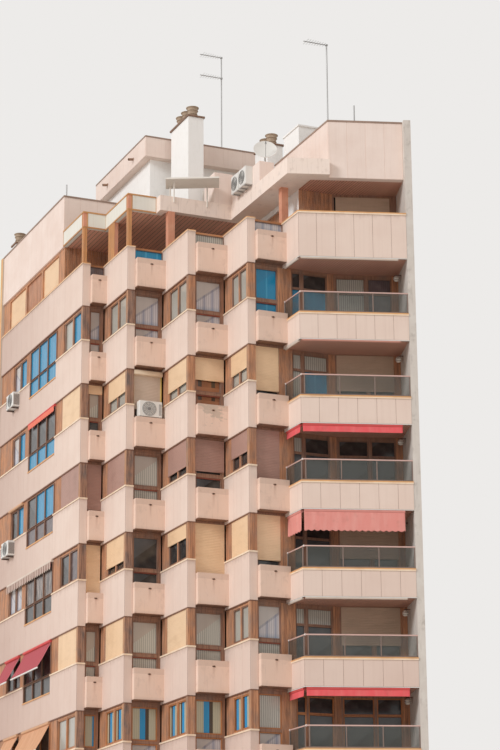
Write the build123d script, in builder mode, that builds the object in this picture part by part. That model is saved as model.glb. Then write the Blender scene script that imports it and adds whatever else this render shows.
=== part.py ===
from build123d import *
from math import cos, radians, sin, tan
from typing import NamedTuple
import os

# A corner block of flats: a plain left wing, a saw-toothed corner and a turned right wing with
# balconies, nine storeys over a shop floor, with a terrace storey and roof houses on top.
# Millimetres, +Z up. X runs along the short tooth faces, the long side walls run along Y, and the
# street is on the -X and -Y sides. The origin lies on the ground under the middle of the plan.

# Heights
STOREY = 2950.0
FLOORS = 9                    # clad bands, the last one is the parapet of the terrace
FIRST_SILL = 5200.0           # window sill of the first floor
BAND = 1670.0                 # clad band from its soffit to the top of its cap
CAP = 50.0                    # thin coping on each band
SILL_TO_FLOOR = 1000.0
SLAB = 250.0
GROUND_SLAB = 150.0
ATTIC_STRIP = 1350.0          # open strip between the terrace parapet and the eaves
FASCIA = 580.0
ROOF_SLAB = 300.0
CEILING = 40.0                # boarded undersides
CEILING_SET = 20.0            # they lie this far above the lower edge of the band
LEFT_PARAPET = 1470.0         # attic walls above the roof
RIGHT_PARAPET = 1550.0

# Plan of the teeth
LEFT_FACE = -6250.0           # outer face of the left wing
CORNER_Y = -500.0             # first outer corner
TOOTH_SIDES = (2360.0, 2330.0, 1980.0)           # steps towards the street
TOOTH_FRONTS = (870.0, 1390.0, 1420.0, 1390.0)   # widths of the short faces
RETURN = 290.0                # clad strip beside each planter
RECESS = 160.0                # windows behind the planters stand back this far
LEFT_WING = 9900.0            # left wing from its corner to the party wall
WALL = 250.0
PARTY_WALL = 250.0
FIN = 60.0                    # party wall end that stands out of the left wing

# Right wing
TURN = 17.7                   # its front turns this far from the tooth faces, degrees
BALCONY_SIDE = 1210.0         # balcony front corner ahead of the last tooth
BALCONY_FRONT = 3750.0        # clear front between its corner and the party wall
BALCONY_DEPTH = 1900.0
PARAPET = 120.0
PARAPET_DROP = 700.0          # glass rail above the lower balcony parapets
RAIL_RISE = 50.0              # handrail above sill height
RAIL = 50.0
RAIL_POST = 40.0
RAIL_BAYS = 3
TERRACE_RAIL = 90.0           # height of the timber handrails behind the terrace planters
REAR_FACE = 6250.0            # outer face of the back wall

# Windows
FRAME_SET = 60.0              # frames stand this far behind the cladding
FRAME = 70.0                  # depth of a frame
GLASS = 12.0
STILE = 60.0
HEAD = 100.0
PLANTER_JAMBS = (100.0, 100.0, 100.0, 200.0)     # inner jamb of the window behind each planter
CORNER_POST = 200.0
POST_SET = 20.0
BOARDED = 520.0               # boarded pier at the inner end of each tooth side
SHUTTER = 24.0
SHUTTER_GAP = 12.0
SHUTTER_BOX = (140.0, 170.0)  # depth and height of the box that stands out over one planter window
LEFT_BAYS = ((CORNER_POST, 2210.0), (2940.0, 6100.0), (6660.0, 8340.0))
LEFT_DROP = 680.0             # the wide window reaches down into its band
REAR_BAYS = 3
REAR_PIER = 500.0
ATTIC_PIERS = ((2300.0, 3000.0), (4900.0, 5100.0), (6900.0, 7100.0), (9100.0, 9900.0))
BALCONY_POSTS = (330.0, 760.0, 260.0)      # left pier, far side of the door stile and corner pier
BACK_POSTS = (60.0, 80.0, 250.0)           # corner post, middle post and pier at the party wall
BALCONY_BLIND = (250.0, 2250.0)            # span of the balcony shutters from the party wall

# Planters
PLANTER_OUT = 230.0           # in front of the clad return
PLANTER_DROP = 500.0          # its rim below the sill
PLANTER_HIGH = 1070.0
PLANTER_RIM = 60.0
SOIL_DROP = 50.0

# Ground floor
SHOP_SILL = 450.0
SHOP_HEAD = 2900.0
SHOP_SIDE = 420.0
DOOR_WIDTH = 1600.0
DOOR_GAP = 3.0

# Terrace and roof
POST = 140.0
ATTIC_SETBACK = 2300.0        # attic front behind the first corner
ATTIC_WALL = 150.0
ATTIC_OPENINGS = ((1800.0, 3600.0), (1500.0, 3500.0), (5200.0, 7200.0))
ATTIC_HEAD = 2150.0
TERRACE_PIER = (300.0, 950.0)    # boarded pier on the second tooth, from the first corner
CROSS_BEAM_X = 1950.0         # from the left wing's face
CROSS_BEAM_Y = -2780.0        # from the first corner
SIDE_BEAM_X = 4720.0
SIDE_BEAM_WIDE = 1000.0
BEAM = 250.0
COLUMN = 250.0
RIGHT_ATTIC_U = 1120.0
RIGHT_ATTIC_V = 300.0
RIGHT_ATTIC_BACK = -3400.0    # the attic wall runs back to here

LIFT_HOUSE = (2600.0, 500.0, 4800.0, 5600.0)     # left, front, width and depth of its roof slab
LIFT_HOUSE_HIGH = 2850.0
LIFT_ROOF = 820.0
LIFT_EAVES = 300.0
LIFT_WALL = 200.0
LIFT_PARAPET = 150.0
LIFT_DECK = 250.0
LIFT_DOOR = (900.0, 2050.0)

# Stacks: left, front, width, depth, height above the roof, number of pots
STACKS = {
    "tall": (3550.0, -1500.0, 610.0, 1750.0, 3850.0, 3),
    "middle": (6330.0, -2500.0, 620.0, 1150.0, 2780.0, 2),
    "shaft": (6700.0, -4500.0, 1250.0, 1330.0, 2780.0, 0),
    "end": (250.0, 9150.0, 480.0, 520.0, 1900.0, 1),
}
STACK_CAP = 60.0
STACK_LIP = 40.0
POT_HIGH = 440.0
POT_FOOT = 150.0
POT_RADIUS = 215.0
POT_RIB = 30.0
POT_RIBS = 2
POT_SIDES = 16
POT_WALL = 30.0
POT_PITCH = 520.0
SERVICE_BOX = (4720.0, -5400.0, 560.0, 2500.0, 770.0)
TANK_BOX = (4070.0, -2780.0, 720.0, 980.0, 1200.0)
COOLER = (300.0, 860.0, 600.0)    # depth, length and height of a cooling unit
SMALL_COOLER = (300.0, 620.0, 720.0)
COOLER_GAP = 60.0
COOLER_EDGE = 25.0
PANEL = (1950.0, 850.0, 60.0)
PANEL_CENTRE = (3150.0, -2900.0, 600.0)
PANEL_TILT = -4.0
PANEL_TURN = -22.0
STRUT = 40.0
STRUT_PLACES = (2450.0, 3750.0)
STRUT_FOOT = 350.0
ROD_SIDES = 12
MAST_RADIUS = 25.0
BOOM_SECTION = 24.0
ELEMENT_RADIUS = 8.0
BOOM = 900.0
ELEMENTS = 4
ELEMENT = 420.0
TALL_MAST = (5900.0, 900.0, 4000.0)
FRONT_MAST = 3000.0
SHORT_POLE = (2080.0, 620.0)
CORNER_POLE = 480.0
DISH_RADIUS = 420.0
DISH_DEPTH = 80.0
DISH_SKIN = 12.0
DISH_POLE = (5050.0, -5150.0, 480.0)
DISH_TURN = 20.0
DISH_LIFT = 25.0
LEFT_COOLERS = ((7, 7350.0), (5, 7550.0))    # level and place along the left wing
PLANTER_COOLER = 6

# Awnings
AWNING_BOX = 130.0
AWNING_OUT = 500.0
AWNING_FALL = 1030.0
AWNING_SHEET = 30.0
AWNING_BAR = 50.0
VALANCE = 330.0
LONG_VALANCE = 780.0
BALCONY_ROLL = 80.0
BALCONY_AWNING = (60.0, 3440.0)
BALCONY_SIDE_AWNING = (160.0, 1250.0)
ROLLED_WIDE = 6                # levels of the awnings on the left wing
ROLLED_SMALL = 5
VALANCE_LEVEL = 4
OPEN_AWNINGS = (3, 2)
BALCONY_ROLLED = (7, 6, 3)
BALCONY_VALANCES = {5: VALANCE, 4: LONG_VALANCE, 2: VALANCE}

# Balcony lamps, on the party wall
LAMP_RADIUS = 110.0
LAMP_SIDES = 16
LAMP_HIGH = 180.0
LAMP_ARM = 60.0
LAMP_PLACE = (1300.0, 900.0)     # behind the balcony front and above the sill


class Run(NamedTuple):
    """A straight stretch of facade: a start, a direction along it and one into the building."""

    x: float
    y: float
    along: tuple
    inward: tuple
    length: float

    def at(self, s, t):
        """Plan point s along the run and t into the building."""
        return (self.x + self.along[0] * s + self.inward[0] * t,
                self.y + self.along[1] * s + self.inward[1] * t)

    def box(self, s0, s1, t0, t1):
        """Plan rectangle from s0 to s1 along the run and t0 to t1 into the building."""
        return [self.at(s0, t0), self.at(s1, t0), self.at(s1, t1), self.at(s0, t1)]


def tooth_corners():
    """Outer corners of the teeth, with the corner of the balcony side last."""
    corners = [(LEFT_FACE, CORNER_Y)]
    for front, side in zip(TOOTH_FRONTS, TOOTH_SIDES):
        x, y = corners[-1]
        corners.append((x + front, y - side))
    x, y = corners[-1]
    corners.append((x + TOOTH_FRONTS[-1], y - BALCONY_SIDE))
    return corners


CORNERS = tooth_corners()
ALONG_Y, ALONG_X = (0.0, 1.0), (1.0, 0.0)
WING_ALONG = (cos(radians(TURN)), -sin(radians(TURN)))
WING_INWARD = (sin(radians(TURN)), cos(radians(TURN)))
LEFT_RUN = Run(*CORNERS[0], ALONG_Y, ALONG_X, LEFT_WING)
SIDE_RUNS = [Run(*here, ALONG_Y, ALONG_X, before[1] + RECESS - here[1])
             for before, here in zip(CORNERS, CORNERS[1:])]
STEP_RUNS = [Run(*here, ALONG_X, ALONG_Y, after[0] - here[0])
             for here, after in zip(CORNERS, CORNERS[1:])]
TOOTH_SIDE_RUNS = SIDE_RUNS[:-1]
BALCONY_SIDE_RUN = SIDE_RUNS[-1]
WING_RUN = Run(*CORNERS[-1], WING_ALONG, WING_INWARD, BALCONY_FRONT)

SILLS = [FIRST_SILL + STOREY * level for level in range(FLOORS)]
WINDOW_SILLS = SILLS[:-1]
TERRACE = SILLS[-1]
STRIP = STOREY - BAND
EAVES = TERRACE + ATTIC_STRIP
ROOF = EAVES + FASCIA
ROOF_UNDERSIDE = ROOF - ROOF_SLAB
LEFT_TOP = ROOF + LEFT_PARAPET
RIGHT_TOP = ROOF + RIGHT_PARAPET
FRAME_BACK = FRAME_SET + FRAME
SLAB_BOTTOM = STRIP + BAND - SILL_TO_FLOOR - SLAB     # of the floor above, over a sill
BALCONY_LINE = CORNERS[-2][1] + RECESS                # window wall beside the balcony
SIDE_BEAM_OUTER = LEFT_FACE + SIDE_BEAM_X
SIDE_BEAM_INNER = SIDE_BEAM_OUTER + SIDE_BEAM_WIDE
BEAM_BACK = CORNER_Y + CROSS_BEAM_Y + BEAM
RIGHT_ATTIC_INNER = RIGHT_ATTIC_V + WALL


def wing_at_x(t, x):
    """Point where the line t behind the right wing's front crosses a given x."""
    s = (x - WING_RUN.x - WING_INWARD[0] * t) / WING_ALONG[0]
    return WING_RUN.at(s, t)


def wing_at_y(t, y):
    """Point where the line t behind the right wing's front crosses a given y."""
    s = (WING_RUN.y + WING_INWARD[1] * t - y) / -WING_ALONG[1]
    return WING_RUN.at(s, t)


def party_at_x(s, x):
    """Point where the line s along the right wing's front, run backwards, crosses a given x."""
    t = (x - WING_RUN.x - WING_ALONG[0] * s) / WING_INWARD[0]
    return WING_RUN.at(s, t)


PARTY_OUTER = party_at_x(BALCONY_FRONT + PARTY_WALL, REAR_FACE)
PARTY_INNER = party_at_x(BALCONY_FRONT, REAR_FACE - WALL)
REAR_RUN = Run(*PARTY_OUTER, ALONG_Y, (-1.0, 0.0), CORNER_Y + LEFT_WING - PARTY_OUTER[1])
BALCONY_INNER = wing_at_x(PARAPET, BALCONY_SIDE_RUN.x + PARAPET)
WINDOW_CORNER = wing_at_y(BALCONY_DEPTH, BALCONY_LINE)


def rectangle(x0, y0, x1, y1):
    """Corners of a plan rectangle."""
    return [(x0, y0), (x1, y0), (x1, y1), (x0, y1)]


def from_corner(x, y):
    """Roof and terrace pieces are set out from the first tooth corner."""
    return LEFT_FACE + x, CORNER_Y + y


def roof_rectangle(x, y, wide, deep):
    """Corners of a rectangle set out from the first tooth corner."""
    left, front = from_corner(x, y)
    return rectangle(left, front, left + wide, front + deep)


def prisms(outlines, lows, height, mode=Mode.ADD):
    """Add a prism over plan outlines, once at each height in lows, to the open piece."""
    with BuildSketch(*[Plane.XY.offset(low) for low in lows]) as plan:
        for outline in outlines:
            with BuildLine():
                Polyline(*outline, close=True)
            make_face()
    extrude(plan.sketch, amount=height, mode=mode)


def keep(piece, name):
    """Label a finished piece and write it as a STEP file."""
    piece.part.label = name
    export_step(piece.part, f"parts/{name}.step")


def lowered(heights, drop):
    """The same heights, each lower by a drop."""
    return [height - drop for height in heights]


def framed(run, spans, lows, high, front, head=HEAD):
    """Window frames over spans of a run, each with two lights, once at each height in lows."""
    back = front + FRAME
    prisms([run.box(start, stop, front, back) for start, stop in spans], lows, high)
    lights = []
    for start, stop in spans:
        left, right = middle_stile(start, stop)
        lights += [run.box(start + STILE, left, front, back), run.box(right, stop - STILE, front, back)]
    prisms(lights, lowered(lows, -STILE), high - STILE - head, Mode.SUBTRACT)


def middle_stile(start, stop):
    """Start and end of the stile that halves a window."""
    middle = (start + stop) / 2
    return middle - STILE / 2, middle + STILE / 2


# Structure


def floor_outline():
    """Plan of an upper floor inside the bands, window lines and balcony parapets."""
    outline = [LEFT_RUN.at(LEFT_WING, WALL), LEFT_RUN.at(RECESS, WALL)]
    for side, step in zip(TOOTH_SIDE_RUNS, STEP_RUNS):
        outline += [side.at(side.length, WALL), side.at(RECESS, WALL)]
    outline += [(BALCONY_SIDE_RUN.x + PARAPET, BALCONY_LINE), BALCONY_INNER,
                WING_RUN.at(BALCONY_FRONT, PARAPET), PARTY_INNER,
                (REAR_FACE - WALL, CORNER_Y + LEFT_WING)]
    return outline


def floor_slabs():
    """Concrete floors of the upper storeys; the last one is the terrace."""
    with BuildPart() as floor_slabs:
        prisms([floor_outline()], lowered(SILLS, SILL_TO_FLOOR + SLAB), SLAB)
    keep(floor_slabs, "floor_slabs")


def ground_floor_slab():
    """Slab on the ground, flush with the outer walls."""
    outline = [LEFT_RUN.at(LEFT_WING, 0), LEFT_RUN.at(0, 0)]
    for step, side in zip(STEP_RUNS, SIDE_RUNS):
        outline += [step.at(RETURN, 0), step.at(RETURN, RECESS), side.at(side.length, 0), side.at(0, 0)]
    outline += [WING_RUN.at(BALCONY_FRONT + PARTY_WALL, 0), PARTY_OUTER,
                (REAR_FACE, CORNER_Y + LEFT_WING + PARTY_WALL),
                (LEFT_FACE, CORNER_Y + LEFT_WING + PARTY_WALL)]
    with BuildPart() as ground_floor_slab:
        prisms([outline], [0], GROUND_SLAB)
    keep(ground_floor_slab, "ground_floor_slab")


def party_walls():
    """Plain end walls against the neighbours."""
    left_top = ROOF + LEFT_PARAPET
    with BuildPart() as left_party_wall:
        end = CORNER_Y + LEFT_WING
        prisms([rectangle(LEFT_FACE, end, REAR_FACE, end + PARTY_WALL)], [GROUND_SLAB], left_top - GROUND_SLAB)
        prisms([rectangle(LEFT_FACE - FIN, end, LEFT_FACE, end + PARTY_WALL)], [0], left_top)
    keep(left_party_wall, "left_party_wall")
    with BuildPart() as right_party_wall:
        outline = [WING_RUN.at(BALCONY_FRONT, 0), WING_RUN.at(BALCONY_FRONT + PARTY_WALL, 0),
                   PARTY_OUTER, PARTY_INNER]
        prisms([outline], [GROUND_SLAB], ROOF + RIGHT_PARAPET - GROUND_SLAB)
    keep(right_party_wall, "right_party_wall")


def rear_spans():
    """Start and end of each window along the back wall."""
    wide = (REAR_RUN.length - REAR_PIER * (REAR_BAYS + 1)) / REAR_BAYS
    starts = [REAR_PIER + (wide + REAR_PIER) * bay for bay in range(REAR_BAYS)]
    return [(start, start + wide) for start in starts]


def rear_wall():
    """Plain back wall with a row of windows on every storey, and its frames."""
    spans = rear_spans()
    with BuildPart() as rear_wall:
        far = REAR_RUN.length
        prisms([[PARTY_OUTER, REAR_RUN.at(far, 0), REAR_RUN.at(far, WALL), PARTY_INNER]], [GROUND_SLAB],
               LEFT_TOP - GROUND_SLAB)
        holes = [REAR_RUN.box(start, stop, 0, WALL) for start, stop in spans]
        prisms(holes, SILLS, STRIP, Mode.SUBTRACT)
        prisms(holes, [SHOP_SILL], SHOP_HEAD - SHOP_SILL, Mode.SUBTRACT)
    keep(rear_wall, "rear_wall")
    with BuildPart() as rear_frames:
        framed(REAR_RUN, spans, SILLS, STRIP, FRAME_SET)
        framed(REAR_RUN, spans, [SHOP_SILL], SHOP_HEAD - SHOP_SILL, FRAME_SET)
    keep(rear_frames, "rear_frames")


def ground_walls():
    """Street walls of the shop floor, cut for windows and the entrance."""
    high = FIRST_SILL - BAND - GROUND_SLAB
    glazed = SHOP_HEAD - SHOP_SILL
    with BuildPart() as ground_walls:
        prisms([LEFT_RUN.box(0, LEFT_WING, 0, WALL), STEP_RUNS[0].box(0, RETURN, 0, RECESS)],
               [GROUND_SLAB], high)
        for start, stop in LEFT_BAYS:
            prisms([LEFT_RUN.box(start + SHOP_SIDE, stop, 0, WALL)], [SHOP_SILL], glazed, Mode.SUBTRACT)
        for side, step in zip(TOOTH_SIDE_RUNS, STEP_RUNS[1:]):
            prisms([side.box(0, side.length, 0, WALL), step.box(0, RETURN, 0, RECESS)], [GROUND_SLAB], high)
        for side in TOOTH_SIDE_RUNS:
            prisms([side.box(SHOP_SIDE, side.length - SHOP_SIDE, 0, WALL)], [SHOP_SILL], glazed,
                   Mode.SUBTRACT)
    keep(ground_walls, "ground_walls")
    with BuildPart() as ground_step_walls:
        for step in STEP_RUNS:
            left = RETURN if step is STEP_RUNS[0] else WALL
            prisms([step.box(left, step.length, RECESS, WALL)], [GROUND_SLAB],
                   FIRST_SILL - SILL_TO_FLOOR - SLAB - GROUND_SLAB)
    keep(ground_step_walls, "ground_step_walls")
    with BuildPart() as ground_front_wall:
        side_end = BALCONY_SIDE_RUN.length
        outline = [CORNERS[-1], WING_RUN.at(BALCONY_FRONT, 0), WING_RUN.at(BALCONY_FRONT, WALL),
                   wing_at_x(WALL, BALCONY_SIDE_RUN.x + WALL), BALCONY_SIDE_RUN.at(side_end, WALL),
                   BALCONY_SIDE_RUN.at(side_end, 0)]
        prisms([outline], [GROUND_SLAB], high)
        middle = BALCONY_FRONT / 2
        prisms([WING_RUN.box(middle - DOOR_WIDTH / 2, middle + DOOR_WIDTH / 2, 0, WALL)],
               [GROUND_SLAB], SHOP_HEAD - GROUND_SLAB, Mode.SUBTRACT)
    keep(ground_front_wall, "ground_front_wall")


def ground_joinery():
    """Shop windows and the entrance leaves, which stay shut."""
    with BuildPart() as shop_windows:
        for start, stop in LEFT_BAYS:
            prisms([LEFT_RUN.box(start + SHOP_SIDE, stop, FRAME_SET, FRAME_SET + GLASS)],
                   [SHOP_SILL], SHOP_HEAD - SHOP_SILL)
        for side in TOOTH_SIDE_RUNS:
            prisms([side.box(SHOP_SIDE, side.length - SHOP_SIDE, FRAME_SET, FRAME_SET + GLASS)],
                   [SHOP_SILL], SHOP_HEAD - SHOP_SILL)
    keep(shop_windows, "shop_windows")
    with BuildPart() as entrance_doors:
        middle, gap = BALCONY_FRONT / 2, DOOR_GAP / 2
        leaves = [WING_RUN.box(middle - DOOR_WIDTH / 2, middle - gap, FRAME_SET, FRAME_BACK),
                  WING_RUN.box(middle + gap, middle + DOOR_WIDTH / 2, FRAME_SET, FRAME_BACK)]
        prisms(leaves, [GROUND_SLAB], SHOP_HEAD - GROUND_SLAB)
    keep(entrance_doors, "entrance_doors")


# Clad bands


def left_wing_bands():
    """Bands of the left wing, notched under each wide window, with the first clad return."""
    with BuildPart() as left_wing_bands:
        prisms([LEFT_RUN.box(0, LEFT_WING, 0, WALL), STEP_RUNS[0].box(0, RETURN, 0, RECESS)],
               lowered(SILLS, BAND), BAND - CAP)
        start, stop = LEFT_BAYS[1]
        prisms([LEFT_RUN.box(start, stop, 0, WALL)], lowered(WINDOW_SILLS, LEFT_DROP), LEFT_DROP,
               Mode.SUBTRACT)
    keep(left_wing_bands, "left_wing_bands")


def tooth_bands():
    """Bands of each tooth: the long side and the clad return beside its planter."""
    with BuildPart() as tooth_bands:
        for side, step in zip(TOOTH_SIDE_RUNS, STEP_RUNS[1:]):
            prisms([side.box(0, side.length, 0, WALL), step.box(0, RETURN, 0, RECESS)],
                   lowered(SILLS, BAND), BAND - CAP)
    keep(tooth_bands, "tooth_bands")


def band_caps():
    """Thin copings on the bands, flush with the cladding."""
    start, stop = LEFT_BAYS[1]
    first_return = STEP_RUNS[0].box(0, RETURN, 0, RECESS)
    with BuildPart() as band_caps:
        prisms([LEFT_RUN.box(0, start, 0, WALL), first_return, LEFT_RUN.box(stop, LEFT_WING, 0, WALL)],
               lowered(WINDOW_SILLS, CAP), CAP)
        prisms([LEFT_RUN.box(0, LEFT_WING, 0, WALL), first_return], [TERRACE - CAP], CAP)
        for side, step in zip(TOOTH_SIDE_RUNS, STEP_RUNS[1:]):
            prisms([side.box(0, side.length, 0, WALL), step.box(0, RETURN, 0, RECESS)],
                   lowered(SILLS, CAP), CAP)
        prisms([balcony_side_outline()], lowered(WINDOW_SILLS, PARAPET_DROP + CAP), CAP)
        prisms([balcony_side_outline()], [TERRACE - CAP], CAP)
    keep(band_caps, "band_caps")


# Planters and the windows behind them


def planters():
    """Concrete planters on the short faces, hung from the floor edges, filled with soil."""
    with BuildPart() as planters:
        for step in STEP_RUNS:
            prisms([step.box(RETURN, step.length, -PLANTER_OUT, RECESS)],
                   lowered(SILLS, PLANTER_DROP + PLANTER_HIGH), PLANTER_HIGH)
        for step in STEP_RUNS:
            prisms([step.box(RETURN + PLANTER_RIM, step.length - PLANTER_RIM,
                             PLANTER_RIM - PLANTER_OUT, RECESS - PLANTER_RIM)],
                   lowered(SILLS, PLANTER_DROP + SOIL_DROP), SOIL_DROP, Mode.SUBTRACT)
    keep(planters, "planters")


def planter_frames():
    """Tall framed windows behind the planters, with a transom at sill height."""
    with BuildPart() as planter_frames:
        for step, jamb in zip(STEP_RUNS, PLANTER_JAMBS):
            back = RECESS + FRAME
            stiles = [step.box(RETURN, RETURN + STILE, RECESS, back),
                      step.box(step.length - jamb, step.length, RECESS, back)]
            whole = [step.box(RETURN, step.length, RECESS, back)]
            floors = lowered(WINDOW_SILLS, SILL_TO_FLOOR)
            prisms(stiles, floors, SILL_TO_FLOOR + SLAB_BOTTOM)
            prisms(whole, floors, STILE)
            prisms(whole, lowered(WINDOW_SILLS, STILE), HEAD)
            prisms(whole, lowered(WINDOW_SILLS, HEAD - STRIP), HEAD + SLAB_BOTTOM - STRIP)
    keep(planter_frames, "planter_frames")


# Strip windows


def left_stiles():
    """Stiles of the left wing: one in the corner window and two in the wide one."""
    wide_start, wide_stop = LEFT_BAYS[1]
    third = (wide_stop - wide_start) / 3
    places = [wide_start + third, wide_stop - third]
    return [middle_stile(*LEFT_BAYS[0])] + [(place - STILE / 2, place + STILE / 2) for place in places]


def left_wing_frames():
    """Window strips of the left wing: boarded piers, stiles and the part below the sill."""
    corner, wide, small = LEFT_BAYS
    piers = [(corner[1], wide[0]), (wide[1], small[0]), (small[1], LEFT_WING)]
    posts = [LEFT_RUN.box(start, stop, FRAME_SET, FRAME_BACK) for start, stop in piers + left_stiles()]
    strip = LEFT_RUN.box(CORNER_POST, LEFT_WING, FRAME_SET, FRAME_BACK)
    foot = LEFT_RUN.box(*wide, FRAME_SET, FRAME_BACK)
    ends = [LEFT_RUN.box(wide[0], wide[0] + STILE, FRAME_SET, FRAME_BACK),
            LEFT_RUN.box(wide[1] - STILE, wide[1], FRAME_SET, FRAME_BACK)]
    with BuildPart() as left_wing_frames:
        prisms(posts, WINDOW_SILLS, STRIP)
        prisms([strip], WINDOW_SILLS, STILE)
        prisms([strip], lowered(WINDOW_SILLS, HEAD - STRIP), HEAD)
        prisms(ends, lowered(WINDOW_SILLS, LEFT_DROP), LEFT_DROP)
        prisms([foot], lowered(WINDOW_SILLS, LEFT_DROP), STILE)
        attic_frame()
    keep(left_wing_frames, "left_wing_frames")


def attic_frame():
    """Top window strip of the left wing, under the attic wall."""
    piers = [LEFT_RUN.box(start, stop, FRAME_SET, FRAME_BACK) for start, stop in ATTIC_PIERS]
    strip = LEFT_RUN.box(ATTIC_PIERS[0][0], ATTIC_PIERS[-1][1], FRAME_SET, FRAME_BACK)
    prisms(piers, [TERRACE], ATTIC_STRIP)
    prisms([strip], [TERRACE], STILE)
    prisms([strip], [EAVES - HEAD], HEAD)


def side_frames():
    """Window strips of the tooth sides: a boarded pier, two sliding sashes and their rails."""
    with BuildPart() as side_frames:
        for side in TOOTH_SIDE_RUNS:
            pier_start = side.length - BOARDED
            framed(side, [(CORNER_POST, pier_start)], WINDOW_SILLS, STRIP, FRAME_SET)
            prisms([side.box(pier_start, side.length, FRAME_SET, FRAME_BACK)], WINDOW_SILLS, STRIP)
    keep(side_frames, "side_frames")


def window_glass():
    """One sheet of glass behind the frames of each wall on every storey."""
    rows = [(run, CORNER_POST) for run in (LEFT_RUN, *TOOTH_SIDE_RUNS)]
    floors = lowered(WINDOW_SILLS, SILL_TO_FLOOR)
    with BuildPart() as window_glass:
        for run, start in rows:
            prisms([run.box(start, run.length, FRAME_BACK, FRAME_BACK + GLASS)], WINDOW_SILLS, STRIP)
        prisms([LEFT_RUN.box(*LEFT_BAYS[1], FRAME_BACK, FRAME_BACK + GLASS)],
               lowered(WINDOW_SILLS, LEFT_DROP), LEFT_DROP)
        prisms([LEFT_RUN.box(ATTIC_PIERS[0][0], LEFT_WING, FRAME_BACK, FRAME_BACK + GLASS)],
               [TERRACE], ATTIC_STRIP)
        for step in STEP_RUNS:
            prisms([step.box(RETURN, step.length, RECESS + FRAME, RECESS + FRAME + GLASS)], floors,
                   SILL_TO_FLOOR + SLAB_BOTTOM)
        first, last = rear_spans()[0], rear_spans()[-1]
        rear = REAR_RUN.box(first[0], last[1], WALL, WALL + GLASS)
        prisms([rear], SILLS, STRIP)
        prisms([rear], [SHOP_SILL], SHOP_HEAD - SHOP_SILL)
        side_pane, back_pane = [run.box(0, run.length, FRAME, FRAME + GLASS) for run, _ in balcony_lines()]
        prisms([side_pane, back_pane], floors, SILL_TO_FLOOR + SLAB_BOTTOM)
        prisms([back_pane], [TERRACE - SILL_TO_FLOOR], ROOF_UNDERSIDE - TERRACE + SILL_TO_FLOOR)
    keep(window_glass, "window_glass")


def corner_posts():
    """Boarded timber posts on every outer corner between the bands."""
    with BuildPart() as corner_posts:
        for step in STEP_RUNS:
            prisms([step.box(POST_SET, RETURN, POST_SET, CORNER_POST)], WINDOW_SILLS, STRIP)
    keep(corner_posts, "corner_posts")


def attic_shutters():
    """Closed shutters between the piers of the top window strip."""
    with BuildPart() as attic_shutters:
        openings = [LEFT_RUN.box(here[1], after[0], FRAME_BACK - SHUTTER, FRAME_BACK)
                    for here, after in zip(ATTIC_PIERS, ATTIC_PIERS[1:])]
        prisms(openings, [TERRACE + STILE], ATTIC_STRIP - STILE - HEAD)
    keep(attic_shutters, "attic_shutters")


# Roller shutters

# Length of each shutter as a share of the strip, by level and bay. Bays: L the left wing's corner
# window, S2 to S4 the tooth sides, P1 to P4 the windows behind planters, B the balcony opening.
# The windows behind planters are taller than the strip, so theirs can be over 1.
BEIGE_SHUTTERS = {
    0: {"P2": 1.0, "S3": 0.75, "P4": 0.8},
    1: {"L": 1.0, "S2": 0.6, "S4": 0.6, "P3": 0.5},
    3: {"L": 1.0, "S2": 1.0, "S3": 1.0, "B": 1.0},
    4: {"P1": 1.38, "S2": 0.75, "S3": 0.4, "P3": 1.38, "S4": 1.0, "P4": 1.2, "B": 1.0},
    6: {"L": 1.0, "P1": 0.25, "S2": 0.6, "P2": 1.1, "S3": 0.7, "P3": 0.63, "S4": 0.6, "P4": 1.22,
        "B": 1.0},
}
MAUVE_SHUTTERS = {
    5: {"L": 1.0, "P1": 1.3, "S2": 1.0, "S3": 0.75, "P3": 0.87, "S4": 0.6, "P4": 1.34},
}


def shutter_outline(bay):
    """Plan of one bay's roller shutter, just in front of its frame."""
    number = int(bay[1:]) if bay[1:] else 0
    if bay == "L":
        return LEFT_RUN.box(*LEFT_BAYS[0], FRAME_SET - SHUTTER, FRAME_SET)
    if bay == "B":
        near, far = BALCONY_BLIND
        return WING_RUN.box(BALCONY_FRONT - far, BALCONY_FRONT - near, BALCONY_DEPTH - SHUTTER,
                            BALCONY_DEPTH)
    if bay[0] == "S":
        side = TOOTH_SIDE_RUNS[number - 2]
        return side.box(CORNER_POST, side.length - BOARDED, FRAME_SET - SHUTTER, FRAME_SET)
    step = STEP_RUNS[number - 1]
    gap = PLANTER_JAMBS[-1] if step is STEP_RUNS[-1] else SHUTTER_GAP
    return step.box(RETURN, step.length - gap, RECESS - SHUTTER, RECESS)


def shutters():
    """Roller shutters at the heights where they hang, one of them with its box outside."""
    box_out, box_high = SHUTTER_BOX
    boxed = STEP_RUNS[1]
    for name, table in (("beige_shutters", BEIGE_SHUTTERS), ("mauve_shutters", MAUVE_SHUTTERS)):
        with BuildPart() as shutters:
            for level, bays in table.items():
                for bay, share in bays.items():
                    prisms([shutter_outline(bay)], [SILLS[level] + STRIP * (1 - share)], STRIP * share)
            if name == "beige_shutters":
                prisms([boxed.box(RETURN, boxed.length - SHUTTER_GAP, RECESS - box_out, RECESS)],
                       [SILLS[PLANTER_COOLER] + STRIP - box_high], box_high)
        keep(shutters, name)


# Balconies of the right wing

def balcony_side_outline():
    """Plan of the parapet on the short side of the balconies."""
    return [BALCONY_SIDE_RUN.at(BALCONY_SIDE_RUN.length, 0), CORNERS[-1], BALCONY_INNER,
            BALCONY_SIDE_RUN.at(BALCONY_SIDE_RUN.length, PARAPET)]


def balcony_front_outline():
    """Plan of the parapet along the front of the balconies."""
    return [CORNERS[-1], WING_RUN.at(BALCONY_FRONT, 0), WING_RUN.at(BALCONY_FRONT, PARAPET), BALCONY_INNER]


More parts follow.
